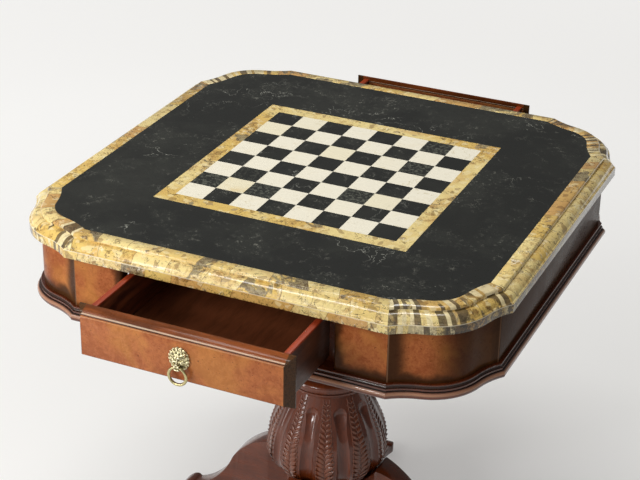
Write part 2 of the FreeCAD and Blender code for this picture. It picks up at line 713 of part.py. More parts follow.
def lion_mask(name):
    """Domed mask with a bored muzzle."""
    face = -FRONT_FACE
    middle = FRONT_FOOT + (FRONT_HEAD - FRONT_FOOT) / 2 + S.mask_lift
    dome = DOC.addObject("Part::Ellipsoid", name + "_dome")
    for side, radius in (("Radius1", S.mask_height / 2), ("Radius2", S.mask_width / 2), ("Radius3", S.mask_depth)):
        dome.setExpression(side, radius.formula)
    dome.setExpression("Placement.Base.y", face.formula)
    dome.setExpression("Placement.Base.z", middle.formula)
    keep = board(name + "_front_half", (-S.mask_width, face - S.mask_depth * 2, middle - S.mask_height),
                 (S.mask_width, face, middle + S.mask_height))
    proud = boolean("Common", name + "_proud", dome, keep)
    muzzle = DOC.addObject("Part::Cylinder", name + "_muzzle")
    bore = DOC.addObject("Part::Cylinder", name + "_bore")
    for rod, radius, length in ((muzzle, S.muzzle_radius, S.muzzle_width), (bore, S.mouth_radius, S.mask_width * 2)):
        rod.Placement = Placement(Vector(), Rotation(Vector(0, 1, 0), 90))
        rod.setExpression("Radius", radius.formula)
        rod.setExpression("Height", length.formula)
        rod.setExpression("Placement.Base.x", (-length / 2).formula)
        rod.setExpression("Placement.Base.y", (face - S.muzzle_out).formula)
        rod.setExpression("Placement.Base.z", (middle - S.muzzle_drop).formula)
    neck = board(name + "_neck", (-S.muzzle_width / 2, face - S.muzzle_out, middle - S.muzzle_drop),
                 (S.muzzle_width / 2, face, middle - S.muzzle_drop + S.muzzle_radius))
    solid = boolean("MultiFuse", name + "_solid", proud, muzzle, neck)
    return boolean("Cut", name, solid, bore)


def pull_ring(name):
    """Ring hanging in the muzzle, its plane parallel to the drawer front."""
    middle = FRONT_FOOT + (FRONT_HEAD - FRONT_FOOT) / 2 + S.mask_lift
    sag = S.muzzle_width * S.muzzle_width / (S.ring_radius * 8)
    drop = S.mouth_radius - S.ring_wire - sag - S.ring_play
    ring = DOC.addObject("Part::Torus", name)
    ring.setExpression("Radius1", S.ring_radius.formula)
    ring.setExpression("Radius2", S.ring_wire.formula)
    height = middle - S.muzzle_drop - S.ring_radius - drop
    return ring, -FRONT_FACE - S.muzzle_out, height


def make_drawer(label, angle):
    """One drawer with its pull, built at the front and turned to its own side."""
    prefix = f"{label}_drawer"
    pieces = [drawer_front(f"{prefix}_front")]
    for hand, sign in (("left", -1), ("right", 1)):
        pieces.append(drawer_side(f"{prefix}_side_{hand}", sign))
    inner = SIDE_FACE - S.side_thick
    pieces.append(board(f"{prefix}_back", (-inner, -BOX_BACK - S.side_thick, FLOOR_HEAD),
                        (inner, -BOX_BACK, SIDE_HEAD)))
    pieces.append(board(f"{prefix}_floor", (-FLOOR_HALF, -FRONT_BACK - S.groove_depth, FLOOR_FOOT),
                        (FLOOR_HALF, -BOX_BACK, FLOOR_HEAD)))
    pieces.append(lion_mask(f"{label}_lion_mask"))
    nodes = [turn(piece, angle) for piece in pieces]
    ring, out, height = pull_ring(f"{label}_pull_ring")
    ring.Placement = Placement(Vector(), Rotation(Vector(1, 0, 0), 90))
    ring.setExpression("Placement.Base.y", (out if angle == 0 else -out).formula)
    ring.setExpression("Placement.Base.z", height.formula)
    return nodes + [ring]


# ---- the pedestal ----------------------------------------------------------------------------------


def make_plate():
    """Square mounting plate screwed up into the bearers."""
    half = S.plate_half
    blank = board("plate_blank", (-half, -half, PLATE_FOOT), (half, half, FRIEZE_FOOT))
    bored = boolean("Cut", "plate_bored", blank, upright("plate_bore", S.rod_radius + S.rod_play,
                                                         PLATE_FOOT, FRIEZE_FOOT))
    return boolean("Cut", "mounting_plate", bored, shaped("plate_holes", screw_holes(plate_screws(), PLATE_FOOT, S.screw_sink)))


def make_column():
    """Turned column from the mounting plate down to the baluster."""
    head, foot = PLATE_FOOT, S.neck_height
    tall = head - foot
    profile = [
        (S.rod_radius + S.rod_play, foot),
        (S.column_foot, foot, 0.2),
        (S.column_foot, foot + tall * 0.09),
        (S.column_foot * 0.86, foot + tall * 0.12, -0.22),
        (S.column_waist, foot + tall * 0.34),
        (S.column_waist * 1.16, foot + tall * 0.36, 0.4),
        (S.column_waist * 1.16, foot + tall * 0.42),
        (S.column_waist, foot + tall * 0.44, -0.12),
        (S.column_waist * 1.28, foot + tall * 0.8),
        (S.column_head * 0.88, foot + tall * 0.86, 0.3),
        (S.column_head, foot + tall * 0.93),
        (S.column_head, head),
        (S.rod_radius + S.rod_play, head),
    ]
    body, _ = turned("column", profile)
    return body


def baluster_profile():
    """Outline of the baluster: heel, belly, shoulder, throat, fillet and collar."""
    collar_foot = S.neck_height - S.collar_half * 2
    fillet = S.throat_radius + (S.collar_radius - S.throat_radius) * 0.6
    return [
        (S.rod_radius + S.rod_play, S.hub_height),
        (S.heel_radius, S.hub_height, 0.176),
        (S.belly_radius, S.belly_height, 0.0526),
        (S.shoulder_radius, S.shoulder_height),
        (S.throat_radius, S.throat_height, -0.15),
        (fillet, collar_foot - S.collar_half * 0.3),
        (fillet, collar_foot),
        (S.collar_radius - S.collar_half, collar_foot, 0.5),
        (S.collar_radius - S.collar_half, S.neck_height),
        (S.rod_radius + S.rod_play, S.neck_height),
    ]


def make_baluster():
    """Turned baluster with hollow flutes that run round its belly, round-ended at the top."""
    body, _ = turned("baluster", baluster_profile())
    middle = (S.belly_radius + S.flute_cutter - S.flute_depth, S.belly_height)
    ends = {
        "up": (S.flute_top_radius, S.flute_top),
        "down": (S.heel_radius + (S.belly_radius - S.heel_radius) * 0.53, S.hub_height - S.flute_depth),
    }
    for label, end in ends.items():
        cutter = body.newObject("Sketcher::SketchObject", f"flute_cutter_{label}")
        cutter.AttachmentSupport = (body_plane(body, "XY"), [""])
        cutter.MapMode = "FlatFace"
        cutter.setExpression("AttachmentOffset.Base.z", middle[1].formula)
        ring = cutter.addGeometry(Part.Circle(Vector(middle[0].value, 0, 0), Vector(0, 0, 1),
                                              S.flute_cutter.value), False)
        cutter.addConstraint(Sketcher.Constraint("PointOnObject", ring, 3, -1))
        for kind, arguments, length in (("DistanceX", (-1, 1, ring, 3), middle[0]),
                                        ("Radius", (ring,), S.flute_cutter)):
            index = cutter.addConstraint(Sketcher.Constraint(kind, *arguments, length.value))
            cutter.setExpression(f"Constraints[{index}]", length.formula)
        path = body.newObject("Sketcher::SketchObject", f"flute_path_{label}")
        path.AttachmentSupport = (body_plane(body, "XZ"), [""])
        path.MapMode = "FlatFace"
        run_along(path, middle, end)
        DOC.recompute()
        pipe = body.newObject("PartDesign::SubtractivePipe", f"flute_{label}")
        pipe.Profile = cutter
        pipe.Spine = path
        around(body, pipe)
        tip = body.newObject("PartDesign::SubtractiveSphere", f"flute_end_{label}")
        tip.setExpression("Radius", S.flute_cutter.formula)
        tip.AttachmentSupport = (body_plane(body, "XY"), [""])
        tip.MapMode = "FlatFace"
        tip.setExpression("AttachmentOffset.Base.x", end[0].formula)
        tip.setExpression("AttachmentOffset.Base.z", end[1].formula)
        around(body, tip)
    return turn(body, FLUTE_TURN)


def around(body, feature):
    """Repeat a feature round the vertical axis, once for each flute."""
    DOC.recompute()
    pattern = body.newObject("PartDesign::PolarPattern", feature.Name + "_around")
    pattern.Originals = [feature]
    pattern.Axis = (next(item for item in body.Origin.OriginFeatures if item.Role == "Z_Axis"), [""])
    pattern.Angle = FULL
    pattern.Occurrences = FLUTES
    body.Tip = pattern
    DOC.recompute()


def run_along(path, start, end):
    """One arc from start to end that leaves start upright."""
    drop = start[0].value - end[0].value
    rise = end[1].value - start[1].value
    radius = (drop**2 + rise**2) / (2 * drop)
    half = math.atan2(rise, radius - drop) / 2
    centre = Vector(start[0].value - radius, start[1].value, 0)
    points = [centre + Vector(math.cos(angle), math.sin(angle), 0) * radius for angle in (0, half, half * 2)]
    if rise < 0:
        points.reverse()
    edge = path.addGeometry(Part.Arc(*points), False)
    first, last = (1, 2) if rise > 0 else (2, 1)
    pin(path, edge, first, start)
    pin(path, edge, last, end)
    index = path.addConstraint(Sketcher.Constraint("DistanceY", -1, 1, edge, 3, start[1].value))
    path.setExpression(f"Constraints[{index}]", start[1].formula)


def hexagon(half):
    """Corners of a hexagonal nut, half being half its width across flats."""
    corner = half / math.cos(math.radians(30))
    return [(corner * math.cos(math.radians(60 * step)), corner * math.sin(math.radians(60 * step)))
            for step in range(6)]


def make_hub():
    """Square hub under the baluster, its corners taken off."""
    half, cut = S.hub_half, S.hub_half - S.hub_chamfer
    plan = ((cut, -half), (half, -cut), (half, cut), (cut, half), (-cut, half), (-half, cut), (-half, -cut),
            (-cut, -half))
    block = prism("hub_block", plan, S.hub_foot, S.hub_height)
    return boolean("Cut", "hub", block, upright("hub_bore", S.rod_radius + S.rod_play, S.hub_foot, S.hub_height))


def leg_profile():
    """Side of a leg: flat at the hub, up under the belly to the knee and down to the toe."""
    reach = S.leg_reach - S.knee_reach
    rise = S.knee_height - S.glide_height
    knee, top = S.knee_reach, S.knee_height
    foot = S.glide_height
    return [
        (S.hub_half, S.hub_foot),
        (S.spider_radius + 2, S.hub_foot, 0.1),
        (knee + reach * 0.42, foot + rise * 0.26, 0.0),
        (knee + reach * 0.66, foot + rise * 0.05, -0.06),
        (knee + reach * 0.74, foot),
        (knee + reach * 0.96, foot, 0.3),
        (S.leg_reach, foot + rise * 0.04, 0.22),
        (knee + reach * 0.86, foot + rise * 0.1, -0.1),
        (knee + reach * 0.42, foot + rise * 0.62, 0.1),
        (knee, top, -0.02),
        (S.hub_half + (knee - S.hub_half) * 0.5, S.hub_height),
        (S.hub_half, S.hub_height),
    ]


def leg_plan():
    """Plan of a leg: broad at the hub and knee, slim at the ankle, with a rounded toe."""
    reach = S.leg_reach - S.knee_reach
    ankle = S.knee_reach + reach * 0.6
    toe = S.leg_reach - S.toe_width / 2
    return [
        (S.hub_half, S.leg_width * -0.5),
        (S.knee_reach, S.leg_width * -0.5, -0.03),
        (ankle, S.ankle_width * -0.5, -0.05),
        (toe, S.toe_width * -0.5, 0.5),
        (toe, S.toe_width / 2, -0.05),
        (ankle, S.ankle_width / 2, -0.03),
        (S.knee_reach, S.leg_width / 2),
        (S.hub_half, S.leg_width / 2),
    ]


def make_legs():
    """Four swept legs, each flat against a face of the hub."""
    side = extrusion("leg_side", flat_sketch("leg_side", "XZ", leg_profile()), Vector(0, 1, 0),
                     S.leg_width * 1.5, both_ways=True)
    plan = prism("leg_plan", leg_plan(), size(0), S.knee_height * 1.1)
    return [turn(boolean("Common", f"leg_{label}", side, plan), angle)
            for label, angle in (("right", 0), ("back", 90), ("left", 180), ("front", 270))]


def at_each_leg(solid, reach):
    """Four copies of a solid, one out along each leg."""
    copies = []
    for quarter in range(4):
        copy = solid.copy()
        copy.translate(Vector(reach, 0, 0))
        copy.rotate(Vector(), Vector(0, 0, 1), QUARTER * quarter)
        copies.append(copy)
    return copies


def make_fittings():
    """Glides, spider plate, tie rod with nuts and washers, and the wood screws."""
    glide = Part.makeCylinder(S.glide_radius.value, S.glide_height.value)
    glides = shaped("glides", Part.makeCompound(at_each_leg(glide, S.glide_reach.value)))
    disc = upright("spider_disc", S.spider_radius, SPIDER_FOOT, S.hub_foot)
    bored = boolean("Cut", "spider_bored", disc, upright("spider_bore", S.rod_radius + S.rod_play,
                                                         SPIDER_FOOT, S.hub_foot))
    spider = boolean("Cut", "spider_plate", bored, shaped("spider_holes", screw_holes(leg_screws(), SPIDER_FOOT, S.spider_sink)))
    return [glides, spider, make_tie_rod(), make_screws()]


def make_tie_rod():
    """Rod that clamps the pedestal between the spider plate and the mounting plate."""
    low_nut, high_nut = SPIDER_FOOT - S.washer_thick, FRIEZE_FOOT + S.washer_thick
    pieces = [upright("tie_rod_shank", S.rod_radius, low_nut - S.nut_thick - S.rod_spare,
                      high_nut + S.nut_thick + S.rod_spare)]
    for label, nut_foot, washer_foot in (("low", low_nut - S.nut_thick, low_nut), ("high", high_nut, FRIEZE_FOOT)):
        hole = S.rod_radius + 0.02
        nut = prism(f"tie_nut_{label}_blank", hexagon(S.nut_half), nut_foot, nut_foot + S.nut_thick)
        washer = upright(f"tie_washer_{label}_blank", S.washer_radius, washer_foot, washer_foot + S.washer_thick)
        for kind, blank, foot, thick in (("nut", nut, nut_foot, S.nut_thick),
                                         ("washer", washer, washer_foot, S.washer_thick)):
            bore = upright(f"tie_{kind}_{label}_bore", hole, foot, foot + thick)
            pieces.append(boolean("Cut", f"tie_{kind}_{label}", blank, bore))
    rod = DOC.addObject("Part::Compound", "tie_rod")
    rod.Links = pieces
    return rod


# ---- the wood screws -------------------------------------------------------------------------------


def plate_screws():
    """Places of the screws that hold the mounting plate to the bearers."""
    across = S.plate_half.value * 0.8
    return [(x, y) for x in (-across, -across / 3, across / 3, across)
            for y in (-S.bearer_spread.value, S.bearer_spread.value)]


def leg_screws():
    """Places of the screws through the spider plate: two into each leg."""
    reach = (S.hub_half.value + S.spider_radius.value) / 2
    aside = S.leg_width.value / 4
    corners = [(reach, aside), (reach, -aside)]
    return [(x, y) for along, side in corners
            for x, y in ((along, side), (-side, along), (-along, -side), (side, -along))]


def kicker_screws():
    """Places of the screws that hold the kickers to the core."""
    middle = (GUIDE_FACE.value - S.ledge_width.value + BAY_HALF.value) / 2
    far = RUNNER_HALF.value * 0.8
    return [(x, y) for x in (-middle, middle) for y in (-far, -far / 3, far / 3, far)]


def screw_holes(places, foot, sink):
    """Cutters for the counterbored clearance holes of screws driven upwards."""
    play = S.screw_play.value
    long = S.plate_thick.value + S.kicker_thick.value
    cutters = []
    for x, y in places:
        at = Vector(x, y, foot.value)
        cutters.append(Part.makeCylinder(S.screw_radius.value + play, long, at))
        cutters.append(Part.makeCylinder(S.screw_head.value + play, sink.value, at))
    return Part.makeCompound(cutters)


def wood_screw(x, y, foot, held, sink):
    """A screw driven upwards through a piece of the given thickness."""
    shank = Part.makeCylinder(S.screw_radius.value, held + S.screw_bite.value, Vector(x, y, foot))
    head = Part.makeCylinder(S.screw_head.value, sink, Vector(x, y, foot))
    return head.fuse(shank)


def make_screws():
    """All the screws of the table, each a solid of its own."""
    screws = []
    for places, foot, held, sink in (
        (plate_screws(), PLATE_FOOT, S.plate_thick, S.screw_sink),
        (leg_screws(), SPIDER_FOOT, S.spider_thick, S.spider_sink),
        (kicker_screws(), KICKER_FOOT, S.kicker_thick, S.screw_sink),
    ):
        screws += [wood_screw(x, y, foot.value, held.value, sink.value) for x, y in places]
    return shaped("wood_screws", Part.makeCompound(screws))


# ---- everything ------------------------------------------------------------------------------------


def build():
    """Build every node and return the list."""
    nodes = make_top() + make_frieze() + make_carcase()
    nodes += make_drawer("front", 0) + make_drawer("back", 180)
    nodes += [make_plate(), make_column(), make_baluster(), make_hub()]
    nodes += make_legs() + make_fittings()
    return nodes


def check(nodes):
    """Stop if an object failed or a node is empty or broken."""
    for item in DOC.Objects:
        if {"Invalid", "Error"} & set(item.State):
            raise RuntimeError(f"{item.Name} failed: {item.State}")
    for node in nodes:
        if node.Shape.isNull() or not node.Shape.isValid() or not node.Shape.Solids:
            raise RuntimeError(f"{node.Label} has no sound solid")


def export(nodes):
    """Write each node to its own STEP file."""
    os.makedirs("parts", exist_ok=True)
    for node in nodes:
        node.Shape.exportStep(os.path.join("parts", f"{node.Label}.step"))


NODES = build()
DOC.recompute()
check(NODES)
export(NODES)
print(len(NODES), "nodes,", sum(len(node.Shape.Solids) for node in NODES), "solids")
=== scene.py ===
"""Looks of a pedestal game table: inlaid marble top, burl frieze, two drawers with lion-mask pulls."""

import math

import bpy
import numpy as np
from mathutils import Matrix, Vector


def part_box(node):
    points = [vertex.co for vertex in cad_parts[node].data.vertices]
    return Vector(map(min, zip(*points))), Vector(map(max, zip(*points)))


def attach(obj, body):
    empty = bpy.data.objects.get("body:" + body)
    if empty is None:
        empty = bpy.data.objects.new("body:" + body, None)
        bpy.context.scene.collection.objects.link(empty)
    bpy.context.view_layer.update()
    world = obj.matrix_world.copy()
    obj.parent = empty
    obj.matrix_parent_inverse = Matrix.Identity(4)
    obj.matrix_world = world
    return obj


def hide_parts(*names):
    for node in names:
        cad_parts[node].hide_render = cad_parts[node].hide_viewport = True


bl_info = {
    "name": "Game table finishes",
    "version": (1, 0, 0),
    "blender": (4, 5, 0),
    "location": "View3D > Sidebar > Game table",
    "description": "Dresses the game table: stone, veneer, carving and brass pulls",
    "category": "Object",
}

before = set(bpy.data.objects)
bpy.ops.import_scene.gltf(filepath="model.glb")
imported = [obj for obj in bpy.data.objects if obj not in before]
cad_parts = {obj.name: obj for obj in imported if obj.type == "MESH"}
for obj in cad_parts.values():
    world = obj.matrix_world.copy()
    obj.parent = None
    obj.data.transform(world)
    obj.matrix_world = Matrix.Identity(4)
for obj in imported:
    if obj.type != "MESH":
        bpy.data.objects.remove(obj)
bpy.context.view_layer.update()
MM = 0.001
SIDES = ("front", "back")
SQUARES_IN_ROW = 8
STONE_EDGES = ("edge_back", "edge_left", "edge_front", "edge_right", "edge_corners")


def tone(red, green, blue):
    """Linear colour of a screen colour given from 0 to 255."""
    shares = (part / 255 for part in (red, green, blue))
    return tuple(s / 12.92 if s <= 0.04045 else ((s + 0.055) / 1.055) ** 2.4 for s in shares)


def colour(name, description, *screen):
    """A colour that a user may change."""
    return bpy.props.FloatVectorProperty(name=name, description=description, subtype="COLOR", size=3,
                                         min=0, max=1, default=tone(*screen))


def length(name, description, millimetres):
    """A length that a user may change."""
    return bpy.props.FloatProperty(name=name, description=description, unit="LENGTH", subtype="DISTANCE",
                                   min=0, default=millimetres * MM)


class TableColours(bpy.types.PropertyGroup):
    """Colours of the table's stones, woods and metal."""

    black_stone: colour("Black stone", "Ground of the dark field and squares", 30, 31, 28)
    black_cloud: colour("Black stone, clouds", "Softer clouds of the dark stone", 46, 47, 42)
    black_vein: colour("Black stone vein", "Hair veins and specks of the dark stone", 150, 148, 136)
    cream_stone: colour("Cream stone", "Ground of the light squares", 242, 235, 214)
    cream_tint: colour("Cream stone, warm squares", "Tint of the warmer light squares", 238, 228, 196)
    cream_vein: colour("Cream stone vein", "Veins of the light squares", 190, 170, 116)
    gold_stone: colour("Ochre stone, golden", "Golden pieces of the edge and border", 222, 188, 104)
    straw_stone: colour("Ochre stone, straw", "Pale straw pieces", 234, 212, 144)
    tan_stone: colour("Ochre stone, tan", "Warm tan pieces", 204, 160, 94)
    umber_stone: colour("Ochre stone, umber", "Brown mottling and cracks", 112, 72, 32)
    grey_stone: colour("Ochre stone, grey", "Grey-green pieces and patches", 138, 126, 94)
    burl_light: colour("Burl, light", "Light clouds of the veneer", 177, 106, 61)
    burl_dark: colour("Burl, dark", "Dark clouds of the veneer", 147, 80, 45)
    # Rubbed dark finish of the frieze, also used as painted shade under the overhang, on the corner blocks'
    # sides and over the right flank.
    burnish_and_shade: colour("Burnish", "Rubbed dark finish towards the borders", 50, 30, 15)
    cherry: colour("Cherry", "Mouldings, column and legs", 96, 42, 16)
    drawer_red: colour("Drawer wood", "Sealed sides of the drawers", 168, 66, 28)
    # Painted shade: the darker faces and floors of the drawers stand for the shade inside them.
    drawer_shaded: colour("Drawer floor", "Sealed floors and insides of the drawers", 128, 72, 44)
    board: colour("Core board", "Plywood and rails out of sight", 170, 132, 88)
    brass: colour("Brass", "Aged brass of masks and rings", 224, 210, 156)
    steel: colour("Steel", "Plate, rod and screws", 178, 178, 176)
    felt: colour("Felt", "Glides", 46, 44, 42)
    ground: colour("Ground", "Floor and backdrop", 208, 207, 204)


class TableSizes(bpy.types.PropertyGroup):
    """Sizes of what is added to the frame."""

    stone_arris: length("Stone arris", "Rounding of the stone's joints", 0.5)
    wood_arris: length("Wood arris", "Rounding of boards", 1.0)
    leg_arris: length("Leg arris", "Rounding of the legs", 7.0)
    leaf_step: length("Leaf step", "Height of one pair of carved leaves", 9.6)
    leaf_rise: length("Leaf rise", "How far a leaf stands off the band", 1.5)
    band_smooth: length("Smooth margin", "Plain strip of the land beside each leaf band", 5.4)
    rib_radius: length("Rib radius", "Bead at each side of a leaf band", 0.9)


# ---- fixed colours ---------------------------------------------------------------------------------

# Small marks that no user changes: stones.
STONE_INK = tone(22, 23, 21)
STONE_DUST = tone(88, 90, 80)
STONE_MOSS = tone(120, 122, 108)
PALE_VEIN = tone(176, 176, 164)
WARM_CLOUD = tone(228, 214, 178)
GOLD_STAIN = tone(222, 194, 130)
CREAM_MOTTLE = tone(206, 200, 178)
CREAM_HAIR = tone(172, 164, 138)
BROWN_MOTTLE = tone(156, 110, 50)
SHELL_CHIP = tone(238, 222, 172)
DEEP_GREY = tone(66, 54, 36)
GREY_FLECK = tone(186, 176, 138)
BROWN_FLECK = tone(136, 96, 50)
DARK_CRACK = tone(66, 42, 22)
WHITE_CRACK = tone(244, 236, 212)
CEMENT = tone(120, 88, 46)
DARK_SLIVER = tone(72, 58, 40)
PALE_SLIVER = tone(232, 216, 170)
SLIVER_FLECK = tone(150, 128, 90)
# Painted shade, broken by dark pits, on the stone edge's lower face towards the right.
PITTED_SHADE = tone(36, 25, 12)
# Painted highlight along the step of the stone edge.
STEP_HIGHLIGHT = tone(248, 236, 206)
STONE_PIT = tone(50, 36, 20)
# Small marks that no user changes: veneer and woods.
BURL_FLECK = tone(126, 62, 30)
BURL_PORE = tone(104, 52, 30)
HONEY = tone(196, 136, 66)
BURL_PIT = tone(66, 30, 14)
# Painted highlight along the mitres of the corner blocks.
MITRE_HIGHLIGHT = tone(150, 112, 84)
EDGE_WOOD = tone(140, 74, 34)
EDGE_STREAK = tone(92, 46, 18)
# Darker wood of a drawer front's ends and foot, deepened as painted shade.
BEVEL_WOOD = tone(82, 52, 26)
BEVEL_STREAK = tone(60, 38, 18)
BEAD_SHINE = tone(244, 224, 196)
QUIRK_SHADOW = tone(40, 22, 8)
LIP_SHINE = tone(236, 190, 140)
DRAWER_STREAK = tone(140, 52, 28)
# Painted shade: darker streaks of the drawers' shaded faces and floors, and their darker outside faces.
FLOOR_STREAK = tone(58, 28, 20)
OUTSIDE_SHADE = tone(52, 28, 18)
CARVED_HOLLOW = tone(22, 12, 6)
CARVED_CREST = tone(150, 100, 76)
CROWN_SHINE = tone(204, 152, 120)
COVE_SHADOW = tone(20, 12, 6)
BOARD_STREAK = tone(126, 90, 56)
GLUE_LINE = tone(90, 62, 38)
# Small marks that no user changes: metal, felt and floor.
# Dark patina in a casting's hollows, deepened as painted shade, and a painted highlight on its crests.
HOLLOW_PATINA_AND_SHADE = tone(30, 24, 8)
CREST_HIGHLIGHT = tone(255, 248, 214)
TARNISH = tone(112, 96, 50)
DULL_ZINC = tone(140, 140, 138)
FELT_FIBRE = tone(78, 74, 70)
FLOOR_FLECK = tone(206, 206, 204)


# ---- modelling -------------------------------------------------------------------------------------

# Points closer than this are one, and faces flatter than this angle are one, before an arris is rounded.
WELD, FLAT_ANGLE = 0.02 * MM, math.radians(0.4)
# An edge sharper than this angle is an arris.
ARRIS_ANGLE = math.radians(38)


def pick(*objects):
    """Select these objects alone; the first is active."""
    bpy.ops.object.select_all(action="DESELECT")
    for item in objects:
        item.select_set(True)
    bpy.context.view_layer.objects.active = objects[0]
    return objects[0]


def settle(item):
    """Put an object's place into its mesh."""
    pick(item)
    bpy.ops.object.transform_apply(location=True, rotation=True, scale=True)
    return item


def start(kind, **settings):
    """Add a primitive with nothing else selected."""
    bpy.ops.object.select_all(action="DESELECT")
    getattr(bpy.ops.mesh, f"primitive_{kind}_add")(**settings)
    return bpy.context.object


def united(name, pieces):
    """Join pieces into one settled object."""
    body = pick(*pieces)
    bpy.ops.object.join()
    body.name = body.data.name = name
    return settle(body)


def another(item, matrix):
    """A copy with its own mesh, placed by a matrix on top of the first one's place."""
    twin = item.copy()
    twin.data = item.data.copy()
    bpy.context.scene.collection.objects.link(twin)
    twin.matrix_world = matrix @ item.matrix_world
    return twin


def finish_with(item, kind, **settings):
    """Add a modifier and apply it."""
    pick(item)
    modifier = item.modifiers.new(kind.title(), kind)
    for key, value in settings.items():
        setattr(modifier, key, value)
    bpy.ops.object.modifier_apply(modifier=modifier.name)
    return item


def unmark(item):
    """Leave none of an object's points selected."""
    pick(item)
    bpy.ops.object.mode_set(mode="EDIT")
    bpy.ops.mesh.select_mode(type="VERT")
    bpy.ops.mesh.select_all(action="DESELECT")
    bpy.ops.object.mode_set(mode="OBJECT")


def move_points(item, wanted, **change):
    """Move or scale the points whose place passes a test."""
    unmark(item)
    chosen = [point for point in item.data.vertices if wanted(point.co)]
    for point in chosen:
        point.select = True
    if not chosen:
        raise RuntimeError(f"no points chosen on {item.name}")
    centre = sum((item.matrix_world @ point.co for point in chosen), Vector()) / len(chosen)
    bpy.ops.object.mode_set(mode="EDIT")
    if "shift" in change:
        bpy.ops.transform.translate(value=change["shift"])
    if "scale" in change:
        bpy.ops.transform.resize(value=change["scale"], center_override=centre)
    bpy.ops.object.mode_set(mode="OBJECT")


def smooth(item, degrees):
    """Shade smooth up to an angle."""
    pick(item)
    bpy.ops.object.shade_smooth_by_angle(angle=math.radians(degrees))
    return item


def rounded(node, body, width, finish):
    """A copy of a frame piece with its arrises taken off."""
    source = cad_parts[node]
    item = bpy.data.objects.new(f"{node}_worked", source.data.copy())
    bpy.context.scene.collection.objects.link(item)
    item.data.materials.clear()
    pick(item)
    bpy.ops.object.mode_set(mode="EDIT")
    bpy.ops.mesh.select_all(action="SELECT")
    bpy.ops.mesh.remove_doubles(threshold=WELD)
    bpy.ops.mesh.dissolve_limited(angle_limit=FLAT_ANGLE)
    bpy.ops.object.mode_set(mode="OBJECT")
    finish_with(item, "BEVEL", width=width, segments=2, limit_method="ANGLE", angle_limit=ARRIS_ANGLE,
                use_clamp_overlap=True, harden_normals=False)
    smooth(item, 30)
    item.data.materials.append(finish_for(finish))
    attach(item, body)
    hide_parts(node)
    return item


def mark_hollows(item, reach, depth):
    """Write on each point how hollow or proud it lies against the form smoothed over some mesh steps."""
    mesh = item.data
    places, normals = np.empty(len(mesh.vertices) * 3), np.empty(len(mesh.vertices) * 3)
    ends = np.empty(len(mesh.edges) * 2, dtype=np.int32)
    mesh.vertices.foreach_get("co", places)
    mesh.vertices.foreach_get("normal", normals)
    mesh.edges.foreach_get("vertices", ends)
    places, normals = places.reshape(-1, 3), normals.reshape(-1, 3)
    first, second = ends.reshape(-1, 2).T
    beside = np.bincount(ends, minlength=len(places)) + 1
    calm = places.copy()
    for _ in range(reach):
        total = [np.bincount(first, calm[second, axis], len(places))
                 + np.bincount(second, calm[first, axis], len(places)) for axis in range(3)]
        calm = (calm + np.array(total).T) / beside[:, None]
    height = ((calm - places) * normals).sum(axis=1) / depth
    for name, sign in (("hollow", 1), ("proud", -1)):
        layer = mesh.attributes.new(name, "FLOAT", "POINT")
        layer.data.foreach_set("value", np.clip(height * sign, 0, 1))
    return item


def dress(finish, *nodes):
    """Give frame nodes a finish."""
    for name in nodes:
        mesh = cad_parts[name].data
        mesh.materials.clear()
        mesh.materials.append(finish_for(finish))


# ---- materials -------------------------------------------------------------------------------------


